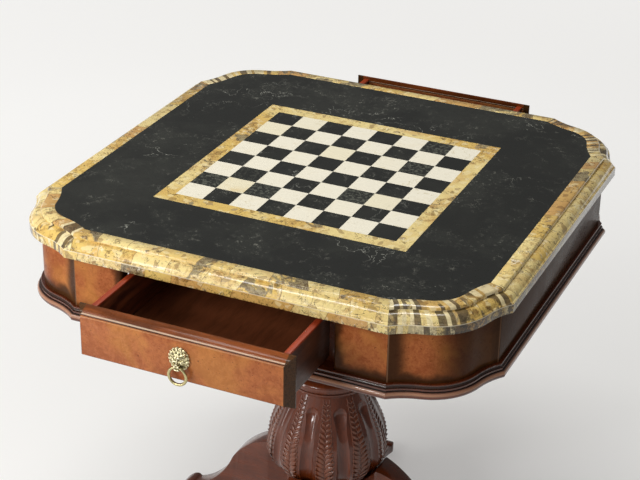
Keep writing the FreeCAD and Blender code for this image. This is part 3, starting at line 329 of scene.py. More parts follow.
class Wiring:
    """Short words for building a node tree."""

    def __init__(self, tree):
        self.tree = tree

    def feed(self, socket, value):
        """Link an output to a socket, or give the socket a value of its own."""
        if isinstance(value, bpy.types.NodeSocket):
            self.tree.links.new(value, socket)
        elif socket.type == "RGBA":
            socket.default_value = (*value, 1)
        else:
            socket.default_value = value

    def add(self, kind, feeds=(), **settings):
        """A node with its settings, and what goes into its inputs, by their names or numbers."""
        node = self.tree.nodes.new(kind)
        for key, value in settings.items():
            setattr(node, key, value)
        for key, value in dict(feeds).items():
            self.feed(node.inputs[key], value)
        return node

    def maths(self, operation, *values):
        """One sum on one or two numbers."""
        return self.add("ShaderNodeMath", enumerate(values), operation=operation).outputs[0]

    def chain(self, operation, values):
        """The same sum carried through several numbers."""
        total, *others = values
        for value in others:
            total = self.maths(operation, total, value)
        return total

    # Sums on numbers, any of which may come from another node.

    def times(self, *values):
        return self.chain("MULTIPLY", values)

    def plus(self, *values):
        return self.chain("ADD", values)

    def most(self, *values):
        return self.chain("MAXIMUM", values)

    def minus(self, first, second):
        return self.maths("SUBTRACT", first, second)

    def absolute(self, value):
        return self.maths("ABSOLUTE", value)

    def above(self, value, level):
        return self.maths("GREATER_THAN", value, level)

    def below(self, value, level):
        return self.maths("LESS_THAN", value, level)

    def vector(self, operation, first, second=(0, 0, 0)):
        """One sum on two places, or on a place and a number."""
        other = "Scale" if operation == "SCALE" else 1
        return self.add("ShaderNodeVectorMath", {0: first, other: second}, operation=operation).outputs[0]

    def measure(self, operation, *places):
        """A number read from one or two places."""
        return self.add("ShaderNodeVectorMath", enumerate(places), operation=operation).outputs["Value"]

    def pushed(self, place, direction, reach):
        """A place moved by a direction times a reach."""
        return self.vector("ADD", place, self.vector("SCALE", direction, reach))

    def split(self, place):
        """The three parts of a place or colour."""
        return self.add("ShaderNodeSeparateXYZ", {0: place}).outputs

    def between(self, value, low, high, out_low=0.0, out_high=1.0):
        """A soft step, from one number where the value is low to another where it is high."""
        feeds = enumerate((value, low, high, out_low, out_high))
        return self.add("ShaderNodeMapRange", feeds, interpolation_type="SMOOTHSTEP").outputs[0]

    def line_at(self, value, level, inner, outer, strength):
        """A soft line where a value passes a level: full within the inner reach, gone at the outer one."""
        return self.between(self.absolute(self.minus(value, level)), inner, outer, strength, 0.0)

    # A Mix node has its own pair of inputs and its own output for each kind of value.

    def mix(self, share, first, second):
        """One colour where the share is 0 and the other where it is 1."""
        return self.add("ShaderNodeMix", {0: share, 6: first, 7: second}, data_type="RGBA").outputs[2]

    def scalar(self, share, first, second):
        """One number where the share is 0 and the other where it is 1."""
        return self.add("ShaderNodeMix", {0: share, 2: first, 3: second}, data_type="FLOAT").outputs[0]

    def layer(self, under, mask, strength, over):
        """A colour laid over another through a mask, at a given strength."""
        return self.mix(self.times(mask, strength), under, over)

    def noise(self, place, scale, detail, rough, wander=0.0):
        """Cloudy noise: its size, octaves, how strong the fine ones are, and how far it is bent."""
        feeds = {"Vector": place, "Scale": scale, "Detail": detail, "Roughness": rough, "Distortion": wander}
        return self.add("ShaderNodeTexNoise", feeds).outputs

    def cells(self, place, scale):
        """Rounded cells, each with its own colour."""
        return self.add("ShaderNodeTexVoronoi", {"Vector": place, "Scale": scale}).outputs

    def lengths(self, along, scale, feature="F1"):
        """Pieces of uneven length set one after another along a line."""
        node = self.add("ShaderNodeTexVoronoi", feature=feature, voronoi_dimensions="1D")
        self.feed(node.inputs["W"], along)
        self.feed(node.inputs["Scale"], scale)
        return node.outputs

    def mark(self, name):
        """A value written on the points of a piece."""
        return self.add("ShaderNodeAttribute", attribute_name=name).outputs["Fac"]

    def use(self, group, **inputs):
        """A shared effect with this finish's own values."""
        feeds = {name.replace("_", " "): value for name, value in inputs.items()}
        return self.add("ShaderNodeGroup", feeds, node_tree=group).outputs


def shared_effect(name, build, values, masks, places=()):
    """A node group that takes a place and named values, and gives named masks and places."""
    tree = bpy.data.node_groups.new(name, "ShaderNodeTree")
    socket = tree.interface.new_socket
    socket("Vector", in_out="INPUT", socket_type="NodeSocketVector")
    for label, value in values.items():
        kind = "NodeSocketFloat" if isinstance(value, float) else "NodeSocketVector"
        socket(label, in_out="INPUT", socket_type=kind).default_value = value
    for label in masks:
        socket(label, in_out="OUTPUT", socket_type="NodeSocketFloat")
    for label in places:
        socket(label, in_out="OUTPUT", socket_type="NodeSocketVector")
    w = Wiring(tree)
    given, leave = w.add("NodeGroupInput").outputs, w.add("NodeGroupOutput")
    for label, value in build(w, given).items():
        w.feed(leave.inputs[label], value)
    return tree


def vein_lines(w, given):
    """Thin wandering lines that come and go."""
    place, scale, begin = given["Vector"], given["Scale"], given["From"]
    bend = w.vector("SUBTRACT", w.noise(place, w.times(scale, 1.7), 4.0, 0.6)["Color"], (0.5, 0.5, 0.5))
    bent = w.pushed(place, bend, w.maths("DIVIDE", given["Wander"], scale))
    ridge = w.absolute(w.minus(w.noise(bent, scale, 2.0, 0.5)["Fac"], 0.5))
    patch = w.noise(place, w.times(scale, 0.8), 2.0, 0.6)["Fac"]
    there = w.between(patch, begin, w.plus(begin, 0.12))
    return {"Line": w.times(w.between(ridge, 0.0, given["Width"], 1.0, 0.0), there)}


def cut_pieces(w, given):
    """Pieces of uneven length set end to end, each with its own shade."""
    cell = w.lengths(given["Along"], given["Scale"])
    edge = w.lengths(given["Along"], given["Scale"], "DISTANCE_TO_EDGE")
    shade = w.split(cell["Color"])
    joint = w.between(edge["Distance"], w.times(given["Joint"], 0.4), given["Joint"], 1.0, 0.0)
    moved = w.pushed(given["Vector"], cell["Color"], 3.0)
    return {"Shade": shade[0], "Hue": shade[1], "Joint": joint, "Own": moved}


# Each side and corner of the top reads its own far stretch of the pattern, so that none repeats another.
# The front and back read theirs this many times further along than the left and right do.
SIDE_STRETCH, FRONT_TIMES, CORNER_STRETCHES = 3.7, 2.6, (17.3, 29.9)
# Round a corner the pattern follows an arc of this radius, at this distance from the field.
CORNER_ARM, CORNER_OUT = 200 * MM, 20 * MM


def round_the_top(w, given):
    """Where a point lies round the top's edge, how far out from the field, and how far from a mitre."""
    x, y, _ = w.split(given["Vector"])
    across, along = w.absolute(x), w.absolute(y)
    hand_x, hand_y = w.maths("SIGN", x), w.maths("SIGN", y)
    centre, first = given["Centre"], given["First"]
    last = w.minus(math.pi / 2, first)
    turn = w.maths("ARCTAN2", w.minus(along, centre), w.minus(across, centre))
    corner = w.times(w.above(turn, first), w.below(turn, last))
    at_side = w.above(across, along)
    side = w.times(w.scalar(at_side, w.times(hand_y, FRONT_TIMES), hand_x), SIDE_STRETCH)
    straight = w.plus(w.scalar(at_side, x, y), side)
    stretch_x, stretch_y = CORNER_STRETCHES
    bent = w.plus(w.times(turn, CORNER_ARM), w.times(hand_x, stretch_x), w.times(hand_y, stretch_y))
    out = w.minus(w.most(across, along), given["Field"])
    from_mitre = w.maths("MINIMUM", w.minus(turn, first), w.minus(last, turn))
    return {"Along": w.scalar(corner, straight, bent), "Out": w.scalar(corner, out, CORNER_OUT),
            "Corner": corner, "From mitre": from_mitre, "Turn": turn}


def wood_clouds(w, given):
    """Clouded figure, fine pores and small irregular pits."""
    place, scale = given["Vector"], given["Scale"]
    cloud = w.noise(place, scale, 5.0, 0.62, 0.9)["Fac"]
    swirl = w.noise(place, w.times(scale, 3.2), 4.0, 0.6, 1.5)
    figure = w.plus(w.times(cloud, 0.62), w.times(swirl["Fac"], 0.38))
    pores = w.noise(w.vector("MULTIPLY", place, (1.0, 1.0, 0.35)), w.times(scale, 46.0), 2.0, 0.5)["Fac"]
    spot = w.cells(w.pushed(place, swirl["Color"], 12 * MM), w.times(scale, 8.0))
    size, chance, _ = w.split(spot["Color"])
    inside = w.between(w.minus(spot["Distance"], w.times(size, 0.22)), 0.0, 0.08, 1.0, 0.0)
    return {"Figure": w.between(figure, 0.36, 0.64), "Pore": w.between(pores, 0.56, 0.66),
            "Pit": w.times(inside, w.between(chance, 0.72, 0.78))}


def long_grain(w, given):
    """Straight grain with slow waves."""
    place, scale = given["Vector"], given["Scale"]
    wave = w.noise(place, 7.0, 2.0, 0.5)["Color"]
    drawn = w.vector("MULTIPLY", w.pushed(place, wave, 20 * MM), given["Stretch"])
    streak = w.noise(drawn, scale, 5.0, 0.65)["Fac"]
    fine = w.noise(drawn, w.times(scale, 7.0), 2.0, 0.5)["Fac"]
    return {"Streak": w.between(streak, 0.34, 0.66), "Fine": w.between(fine, 0.35, 0.7)}


def make_effects():
    """All shared effects by name."""
    return {
        "veins": shared_effect("Veins", vein_lines,
                               {"Scale": 10.0, "Width": 0.01, "Wander": 0.6, "From": 0.5}, ["Line"]),
        "pieces": shared_effect("Set pieces", cut_pieces, {"Along": 0.0, "Scale": 10.0, "Joint": 0.01},
                                ["Shade", "Hue", "Joint"], ["Own"]),
        "round": shared_effect("Round the top", round_the_top, {"Centre": 0.2, "First": 0.3, "Field": 0.389},
                               ["Along", "Out", "Corner", "From mitre", "Turn"]),
        "clouds": shared_effect("Burl figure", wood_clouds, {"Scale": 12.0}, ["Figure", "Pore", "Pit"]),
        "grain": shared_effect("Long grain", long_grain, {"Scale": 40.0, "Stretch": (1, 1, 1)},
                               ["Streak", "Fine"]),
    }


class Finish:
    """A material whose shader waits for its colour, roughness and height."""

    def __init__(self, name, **constants):
        self.material = bpy.data.materials.new(name)
        self.material.use_nodes = True
        tree = self.material.node_tree
        tree.nodes.clear()
        self.w = Wiring(tree)
        self.shader = self.w.add("ShaderNodeBsdfPrincipled")
        self.out = self.w.add("ShaderNodeOutputMaterial", {0: self.shader.outputs[0]})
        self.where = self.w.add("ShaderNodeTexCoord").outputs["Object"]
        for key, value in constants.items():
            self.w.feed(self.shader.inputs[key.replace("_", " ")], value)

    def done(self, base, roughness, height=None, depth=0.0, strength=0.0):
        """Connect the colour, the roughness and, where it has one, the relief with its depth."""
        self.w.feed(self.shader.inputs["Base Color"], base)
        self.w.feed(self.shader.inputs["Roughness"], roughness)
        if height is not None:
            bump = self.w.add("ShaderNodeBump", {"Strength": strength, "Distance": depth, "Height": height})
            self.w.feed(self.shader.inputs["Normal"], bump.outputs[0])
        return self.material


def black_marble(name, effects, colours, square=None):
    """Dark honed stone with hair veins, clusters of scratches and pale specks."""
    f = Finish(name, IOR=1.5, Specular_IOR_Level=0.3)
    w, where = f.w, f.where
    if square:
        where, chance = own_square(w, where, square)
    cloud = w.noise(where, 5.0, 4.0, 0.6, 0.4)["Fac"]
    fine = w.noise(where, 120.0, 4.0, 0.65)["Fac"]
    vein = w.use(effects["veins"], Vector=where, Scale=8.0, Width=0.0034, Wander=1.3, From=0.52)["Line"]
    hair = w.use(effects["veins"], Vector=where, Scale=30.0, Width=0.011, Wander=1.5, From=0.53)["Line"]
    nick = w.use(effects["veins"], Vector=where, Scale=100.0, Width=0.024, Wander=1.0, From=0.52)["Line"]
    dusty = w.between(w.noise(where, 11.0, 4.0, 0.7)["Fac"], 0.5, 0.64)
    speck = w.cells(where, 260.0)["Distance"]
    speck = w.times(w.between(speck, 0.06, 0.22, 1.0, 0.0), dusty)
    base = w.layer(colours.black_stone, w.between(cloud, 0.42, 0.72), 0.75, colours.black_cloud)
    base = w.layer(base, w.between(fine, 0.4, 0.75), 0.35, STONE_INK)
    base = w.layer(base, dusty, 0.07, STONE_DUST)
    base = w.layer(base, speck, 0.3, colours.black_vein)
    base = w.layer(base, w.times(nick, dusty), 0.75, colours.black_vein)
    base = w.layer(base, hair, 0.34, colours.black_vein)
    if square:
        green = w.between(chance, 0.86, 0.9)
        mottle = w.between(w.noise(where, 160.0, 3.0, 0.7)["Fac"], 0.48, 0.6)
        base = w.layer(base, w.times(green, mottle), 0.45, STONE_MOSS)
    base = w.layer(base, vein, 0.6, PALE_VEIN)
    return f.done(base, w.between(fine, 0.3, 0.7, 0.26, 0.36), fine, 0.05 * MM, 0.15)


def own_square(w, where, side):
    """Shift the pattern square by square, and give each square a chance of its own."""
    cell = w.vector("MULTIPLY", w.vector("FLOOR", w.vector("SCALE", where, 1 / side)), (1, 1, 0))
    chance = w.add("ShaderNodeTexWhiteNoise", {"Vector": cell}, noise_dimensions="3D").outputs
    return w.pushed(where, chance["Color"], 7.0), chance["Value"]


def cream_marble(effects, colours, square):
    """Warm white stone, each square with its own veins."""
    f = Finish("cream_marble_squares", IOR=1.5, Specular_IOR_Level=0.4)
    w = f.w
    where, chance = own_square(w, f.where, square)
    cloud = w.noise(where, 24.0, 4.0, 0.65, 0.8)["Fac"]
    mottle = w.noise(where, 120.0, 4.0, 0.7)["Fac"]
    vein = w.use(effects["veins"], Vector=where, Scale=20.0, Width=0.014, Wander=1.4, From=0.5)["Line"]
    hair = w.use(effects["veins"], Vector=where, Scale=55.0, Width=0.026, Wander=1.4, From=0.54)["Line"]
    gold = w.times(w.between(chance, 0.84, 0.94), w.between(cloud, 0.47, 0.66))
    base = w.mix(w.between(chance, 0.55, 0.95), colours.cream_stone, colours.cream_tint)
    base = w.layer(base, w.between(cloud, 0.5, 0.75), 0.3, WARM_CLOUD)
    base = w.layer(base, gold, 0.5, GOLD_STAIN)
    base = w.layer(base, w.between(mottle, 0.58, 0.7), 0.22, CREAM_MOTTLE)
    base = w.layer(base, hair, 0.4, CREAM_HAIR)
    base = w.layer(base, vein, 0.55, colours.cream_vein)
    return f.done(base, w.between(cloud, 0.3, 0.7, 0.22, 0.34), cloud, 0.05 * MM, 0.2)


def fossil_stone(w, effects, colours, own, shade, hue):
    """Golden stone with brown mottling, fine cracks, shell fragments and grey-green patches."""
    warm = w.noise(own, 18.0, 4.0, 0.6, 0.6)["Fac"]
    mottle = w.noise(own, 95.0, 5.0, 0.7, 0.5)["Fac"]
    grain = w.noise(own, 420.0, 3.0, 0.65)["Fac"]
    shell = w.cells(w.pushed(own, w.noise(own, 60.0, 2.0, 0.5)["Color"], 0.01), 105.0)
    chip = w.split(shell["Color"])
    crack = w.use(effects["veins"], Vector=own, Scale=48.0, Width=0.026, Wander=1.6, From=0.42)["Line"]
    fine = w.use(effects["veins"], Vector=own, Scale=120.0, Width=0.04, Wander=1.5, From=0.48)["Line"]
    white = w.use(effects["veins"], Vector=own, Scale=26.0, Width=0.02, Wander=1.4, From=0.53)["Line"]
    busy = w.between(w.plus(shade, w.times(w.minus(warm, 0.5), 0.9)), 0.3, 0.6, 0.3, 1.0)
    base = w.mix(w.between(hue, 0.1, 0.36), colours.tan_stone, colours.gold_stone)
    base = w.mix(w.between(hue, 0.42, 0.76), base, colours.straw_stone)
    base = w.layer(base, w.between(warm, 0.46, 0.68), 0.5, colours.tan_stone)
    base = w.layer(base, w.times(w.between(mottle, 0.48, 0.62), busy), 0.55, BROWN_MOTTLE)
    base = w.layer(base, w.between(chip[0], 0.86, 0.9), 0.5, SHELL_CHIP)
    base = w.layer(base, w.between(chip[1], 0.9, 0.93), 0.5, colours.umber_stone)
    patch = w.plus(shade, w.times(w.minus(warm, 0.5), 1.7))
    grey = w.mix(w.between(mottle, 0.4, 0.6), colours.grey_stone, DEEP_GREY)
    grey = w.layer(grey, w.between(grain, 0.5, 0.6), 0.5, GREY_FLECK)
    base = w.layer(base, w.between(patch, 0.83, 0.88), 0.85, grey)
    base = w.layer(base, w.times(w.between(grain, 0.56, 0.68), busy), 0.3, BROWN_FLECK)
    base = w.layer(base, w.times(fine, busy), 0.65, colours.umber_stone)
    base = w.layer(base, crack, 0.85, DARK_CRACK)
    base = w.layer(base, white, 0.75, WHITE_CRACK)
    return base, mottle


# Mean length of a sawn piece of the edge, and of the slivers let in at its corners.
PIECE_LENGTH, SLIVER_LENGTH = 62 * MM, 6.2 * MM
# The middle row reads the pattern this much further along than the upper one, and the lower than the middle.
MIDDLE_STRETCH, LOWER_STRETCH = 5.31, 7.17


def edge_marble(effects, colours, quirk, step, plan):
    """Moulded edge: sawn pieces end to end in three rows, slivers at the corners, dark pits low on its face,
    painted shade broken by pits on its lower face towards the right, and a painted highlight along the step.
    """
    f = Finish("ochre_marble_edge", IOR=1.5, Specular_IOR_Level=0.3, Coat_Weight=0.45, Coat_Roughness=0.05)
    w = f.w
    x, _, z = w.split(f.where)
    under_quirk, under_step = w.below(z, quirk), w.below(z, step)
    row = w.plus(w.times(under_quirk, MIDDLE_STRETCH), w.times(under_step, LOWER_STRETCH))
    at = w.use(effects["round"], Vector=f.where, **plan)
    lean = w.times(w.minus(w.noise(f.where, 6.0, 1.0, 0.5)["Fac"], 0.5), 2.4)
    along = w.plus(at["Along"], row, w.times(at["Out"], lean))
    piece = w.use(effects["pieces"], Vector=f.where, Along=along, Scale=1 / PIECE_LENGTH, Joint=0.012)
    hue = w.plus(piece["Hue"], w.times(under_quirk, w.above(z, step), 0.32))
    base, mottle = fossil_stone(w, effects, colours, piece["Own"], piece["Shade"], hue)
    base = w.layer(base, piece["Joint"], 0.7, CEMENT)

    strip = w.use(effects["pieces"], Vector=f.where, Along=along, Scale=1 / SLIVER_LENGTH, Joint=0.05)
    patch = w.between(w.noise(f.where, 11.0, 2.0, 0.5)["Fac"], 0.47, 0.5)
    sawn = w.times(at["Corner"], patch, w.between(strip["Shade"], 0.36, 0.4))
    sliver = w.mix(w.between(strip["Hue"], 0.55, 0.58), DARK_SLIVER, PALE_SLIVER)
    sliver = w.mix(w.between(mottle, 0.5, 0.6, 0.0, 0.4), sliver, SLIVER_FLECK)
    base = w.layer(base, sawn, 0.85, sliver)

    # Painted shade on the lower face under the step, growing towards the right and broken by pits.
    right = w.between(x, plan["Field"] - 120 * MM, plan["Field"], 0.0, 0.92)
    pitted_share = w.between(w.noise(f.where, 150.0, 4.0, 0.7)["Fac"], 0.42, 0.56, 0.35, 1.0)
    base = w.mix(w.times(under_step, right, pitted_share), base, PITTED_SHADE)
    # Painted highlight along the step.
    base = w.mix(w.line_at(z, step, 0.3 * MM, 1.2 * MM, 0.55), base, STEP_HIGHLIGHT)
    hollow = w.between(z, step - 14.2 * MM, step - 9 * MM, 1.0, 0.0)
    pit = w.between(w.noise(f.where, 210.0, 3.0, 0.6)["Fac"], 0.52, 0.6)
    base = w.layer(base, w.times(hollow, pit), 0.8, STONE_PIT)
    height = w.minus(mottle, piece["Joint"])
    return f.done(base, w.between(mottle, 0.3, 0.7, 0.14, 0.24), height, 0.1 * MM, 0.25)


def border_marble(effects, colours):
    """Border round the squares: the same stone in long calm lengths."""
    f = Finish("ochre_marble_border", IOR=1.5, Specular_IOR_Level=0.4)
    w = f.w
    slow = w.noise(f.where, 7.0, 2.0, 0.5)["Fac"]
    rough = w.between(w.noise(f.where, 9.0, 1.0, 0.5)["Fac"], 0.5, 0.62, 0.15, 0.66)
    base, mottle = fossil_stone(w, effects, colours, f.where, rough, w.between(slow, 0.35, 0.62, 0.3, 0.8))
    return f.done(base, w.between(mottle, 0.3, 0.7, 0.24, 0.34), mottle, 0.06 * MM, 0.2)


def burl_figure(w, effects, colours, where):
    """Colour and pits of the burl."""
    fig = w.use(effects["clouds"], Vector=where, Scale=26.0)
    fine = w.noise(where, 260.0, 4.0, 0.75)["Fac"]
    base = w.mix(fig["Figure"], colours.burl_dark, colours.burl_light)
    base = w.layer(base, w.between(fine, 0.44, 0.62), 0.4, BURL_FLECK)
    base = w.layer(base, fig["Pore"], 0.25, BURL_PORE)
    honey = w.between(w.noise(where, 8.5, 3.0, 0.6, 0.6)["Fac"], 0.48, 0.64)
    base = w.layer(base, honey, 0.34, HONEY)
    return w.layer(base, fig["Pit"], 0.7, BURL_PIT), fig


def frieze_veneer(effects, colours, foot, head, bay, plan):
    """Burl of the frieze, rubbed dark beside the drawer, at the mitres and along the foot, with painted shadow
    under the stone's overhang, painted shade on the corner blocks' sides and over the right flank, and a
    painted highlight at each mitre.
    """
    f = Finish("burl_veneer_frieze", IOR=1.5, Specular_IOR_Level=0.03, Coat_Weight=0.06, Coat_Roughness=0.1)
    w = f.w
    base, fig = burl_figure(w, effects, colours, f.where)
    x, _, z = w.split(f.where)
    at = w.use(effects["round"], Vector=f.where, **plan)
    wobble = w.times(w.minus(w.noise(f.where, 14.0, 3.0, 0.6)["Fac"], 0.5), 50 * MM)
    level = w.plus(z, wobble)
    low = w.between(level, foot, foot + 26 * MM, 0.92, 0.0)
    # Painted shadow under the stone's overhang.
    high = w.between(level, head - 20 * MM, head, 0.0, 0.35)
    beside = w.between(w.plus(w.absolute(x), wobble), bay + 4 * MM, bay + 28 * MM, 0.9, 0.0)
    mitre = w.between(w.plus(at["From mitre"], wobble), 0.05, 0.2, 0.9, 0.0)
    # Painted shade where each corner block turns to the side, weaker on the left than on the right.
    round_side = w.between(w.plus(at["Turn"], wobble), 0.66, 1.08, 0.8, 0.0)
    to_right = w.between(x, -100 * MM, 100 * MM, 0.6, 1.0)
    corner = w.times(at["Corner"], w.most(mitre, w.times(to_right, round_side)))
    # Painted shade over the right flank.
    flank = w.between(x, plan["Field"] + 18 * MM, plan["Field"] + 19 * MM)
    # The rubbed dark finish and the painted shade, laid on together.
    rubbed_and_shaded = w.between(w.most(low, high, beside, corner, flank), 0.0, 1.0)
    base = w.layer(base, rubbed_and_shaded, 0.94, colours.burnish_and_shade)
    # Painted highlight along each mitre of a corner block.
    mitre_highlight_share = w.between(at["From mitre"], 0.004, 0.014, 0.6, 0.0)
    base = w.mix(w.times(at["Corner"], mitre_highlight_share), base, MITRE_HIGHLIGHT)
    rough = w.between(fig["Figure"], 0.0, 1.0, 0.26, 0.34)
    return f.done(base, rough, w.times(fig["Pit"], -1.0), 0.2 * MM, 0.3)


# Grain that runs along X, along Y and upwards.
ALONG_X, ALONG_Y, UPRIGHT = (0.12, 1.0, 1.0), (1.0, 0.12, 1.0), (1.0, 1.0, 0.12)
# Painted highlights and a painted shadow along the moulded head of a drawer front, in millimetres: how far over
# the flat, where each is full and where it is gone, its strength and its colour.
HEAD_LINES = (
    (2.3, 0.2, 0.8, 0.62, BEAD_SHINE),
    (0.8, 0.3, 0.9, 0.85, QUIRK_SHADOW),
    (-0.7, 0.2, 0.6, 0.4, LIP_SHINE),
)


def front_veneer(effects, colours, half, foot, head):
    """Burl face of a drawer front inside dark moulded edges, with painted highlights and a painted shadow along
    its head and painted shade on its ends and foot, given its flat's half length, foot and head.
    """
    f = Finish("burl_veneer_drawer", IOR=1.5, Specular_IOR_Level=0.1, Coat_Weight=0.2, Coat_Roughness=0.08)
    w = f.w
    base, fig = burl_figure(w, effects, colours, f.where)
    x, _, z = w.split(f.where)
    grain = w.use(effects["grain"], Vector=f.where, Scale=60.0, Stretch=ALONG_X)
    moulded = w.mix(grain["Streak"], EDGE_WOOD, EDGE_STREAK)
    bevel = w.mix(grain["Fine"], BEVEL_WOOD, BEVEL_STREAK)
    base = w.mix(w.between(z, head - 0.3 * MM, head + 0.3 * MM), base, moulded)
    for rise, inner, outer, strength, shade in HEAD_LINES:
        base = w.mix(w.line_at(z, head + rise * MM, inner * MM, outer * MM, strength), base, shade)
    # Painted shade over darker wood on the ends, and a painted shadow line along the foot.
    side = w.between(w.absolute(x), half - 1.2 * MM, half + 0.2 * MM)
    under = w.between(z, foot - 0.4 * MM, foot + 1.2 * MM, 1.0, 0.0)
    base = w.mix(w.most(side, under), base, bevel)
    rough = w.between(fig["Figure"], 0.0, 1.0, 0.24, 0.32)
    return f.done(base, rough, w.times(fig["Pit"], -1.0), 0.2 * MM, 0.3)


def drawer_wood(effects, colours, head, outer):
    """Sealed wood of a drawer side: lighter along its top, with painted shade on its faces below and darker
    painted shade on its outside.
    """
    f = Finish("drawer_wood_sealed", IOR=1.5, Specular_IOR_Level=0.3)
    w = f.w
    x, _, z = w.split(f.where)
    grain = w.use(effects["grain"], Vector=f.where, Scale=60.0, Stretch=ALONG_Y)
    top = w.mix(grain["Streak"], colours.drawer_red, DRAWER_STREAK)
    face = w.mix(grain["Streak"], colours.drawer_shaded, FLOOR_STREAK)
    # Painted shade on the outside face, and on the faces below the top.
    shaded_outside = w.between(w.absolute(x), outer - 1 * MM, outer - 0.2 * MM, 0.0, 0.8)
    face = w.mix(shaded_outside, face, OUTSIDE_SHADE)
    base = w.mix(w.between(z, head - 5 * MM, head - 0.8 * MM, 1.0, 0.0), top, face)
    return f.done(base, w.between(grain["Fine"], 0.0, 1.0, 0.34, 0.44), grain["Fine"], 0.1 * MM, 0.15)


def polished_wood(name, effects, ground, stretch, gloss=0.26, carved=False, section=None):
    """Straight-grained wood under lacquer, dark in the hollows of carving; a moulding's section gets painted
    shadow in its cove and groove and a painted highlight on its crown.
    """
    coat = 0.1 if carved else 0.06
    f = Finish(name, IOR=1.5, Specular_IOR_Level=0.25, Coat_Weight=0.6, Coat_Roughness=coat)
    w = f.w
    grain = w.use(effects["grain"], Vector=f.where, Scale=60.0, Stretch=stretch)
    cloud = w.noise(f.where, 9.0, 3.0, 0.6)["Fac"]
    dark = tuple(part * 0.45 for part in ground)
    light = tuple(min(1.0, part * 1.5) for part in ground)
    base = w.layer(ground, grain["Streak"], 0.7, dark)
    base = w.layer(base, grain["Fine"], 0.3, light)
    base = w.layer(base, w.between(cloud, 0.5, 0.75), 0.35, dark)
    if carved:
        base = w.layer(base, w.mark("hollow"), 0.8, CARVED_HOLLOW)
        base = w.layer(base, w.mark("proud"), 0.22, CARVED_CREST)
    # Painted shadow in the cove and a groove, and a painted highlight on the crown.
    if section:
        foot, head = section
        level = w.maths("DIVIDE", w.minus(w.split(f.where)[2], foot), head - foot)
        cove = w.times(w.between(level, 0.64, 0.7), w.between(level, 0.88, 0.92, 0.75, 0.0))
        step = w.line_at(level, 0.52, 0.02, 0.06, 0.85)
        base = w.mix(w.line_at(level, 0.36, 0.03, 0.15, 0.6), base, CROWN_SHINE)
        base = w.mix(w.most(cove, step), base, COVE_SHADOW)
    rough = w.between(grain["Streak"], 0.0, 1.0, gloss, gloss + 0.1)
    return f.done(base, rough, grain["Fine"], 0.1 * MM, 0.15)


def metal(name, ground, stain, rough, cast=False):
    """Cast or plated metal with tarnish; a casting has dark patina in its hollows, deepened as painted shade,
    and a painted highlight on its crests.
    """
    f = Finish(name, Metallic=1.0)
    w = f.w
    tarnish = w.noise(f.where, 420.0, 3.0, 0.6)["Fac"]
    base = w.layer(ground, w.between(tarnish, 0.5, 0.75), 0.6, stain)
    # Painted shade deepening dark patina in the hollows, and a painted highlight on the crests.
    if cast:
        base = w.layer(base, w.mark("hollow"), 0.95, HOLLOW_PATINA_AND_SHADE)
        base = w.layer(base, w.mark("proud"), 0.75, CREST_HIGHLIGHT)
    return f.done(base, w.between(tarnish, 0.3, 0.7, rough, rough + 0.12), tarnish, 0.02 * MM, 0.1)


def plain_board(effects, colours):
    """Layered plywood and rough rails."""
    f = Finish("core_board_layers")
    w = f.w
    ply = w.maths("PINGPONG", w.split(f.where)[2], 1.6 * MM)
    grain = w.use(effects["grain"], Vector=f.where, Scale=50.0, Stretch=(0.15, 1.0, 1.0))
    base = w.layer(colours.board, grain["Streak"], 0.6, BOARD_STREAK)
    base = w.mix(w.between(ply, 1.2 * MM, 1.4 * MM, 0.0, 0.25), base, GLUE_LINE)
    return f.done(base, 0.6, grain["Fine"], 0.2 * MM, 0.3)


def felt_pad(colours):
    """Dense felt."""
    f = Finish("felt_pad", Sheen_Weight=0.4)
    fuzz = f.w.noise(f.where, 2200.0, 3.0, 0.7)["Fac"]
    base = f.w.mix(fuzz, colours.felt, FELT_FIBRE)
    return f.done(base, 0.95, fuzz, 0.4 * MM, 0.6)


# A corner's mitre starts on a side of the field, this far from where the sides would meet, and runs this
# much along the side for one outwards.
MITRE_START, MITRE_LEAN = 119.3 * MM, 0.33
# The quirk of the stone edge under its top, and the step under the quirk.
QUIRK_DROP, STEP_DROP = 4.2 * MM, 16.5 * MM
# Bevel round a drawer front, and how far over its foot the frieze is rubbed darkest.
FRONT_BEVEL, RUBBED_FOOT = 11 * MM, 23 * MM
# How far aged brass is darkened.
AGEING = 0.66


def top_plan():
    """Half the field's width, and the centre and first angle of a corner's turn, from its mitres."""
    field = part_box("field_slab")[1].y
    centre = (field - MITRE_START - MITRE_LEAN * field) / (1 - MITRE_LEAN)
    return {"Centre": centre, "First": math.pi / 2 - math.atan2(1, MITRE_LEAN), "Field": field}


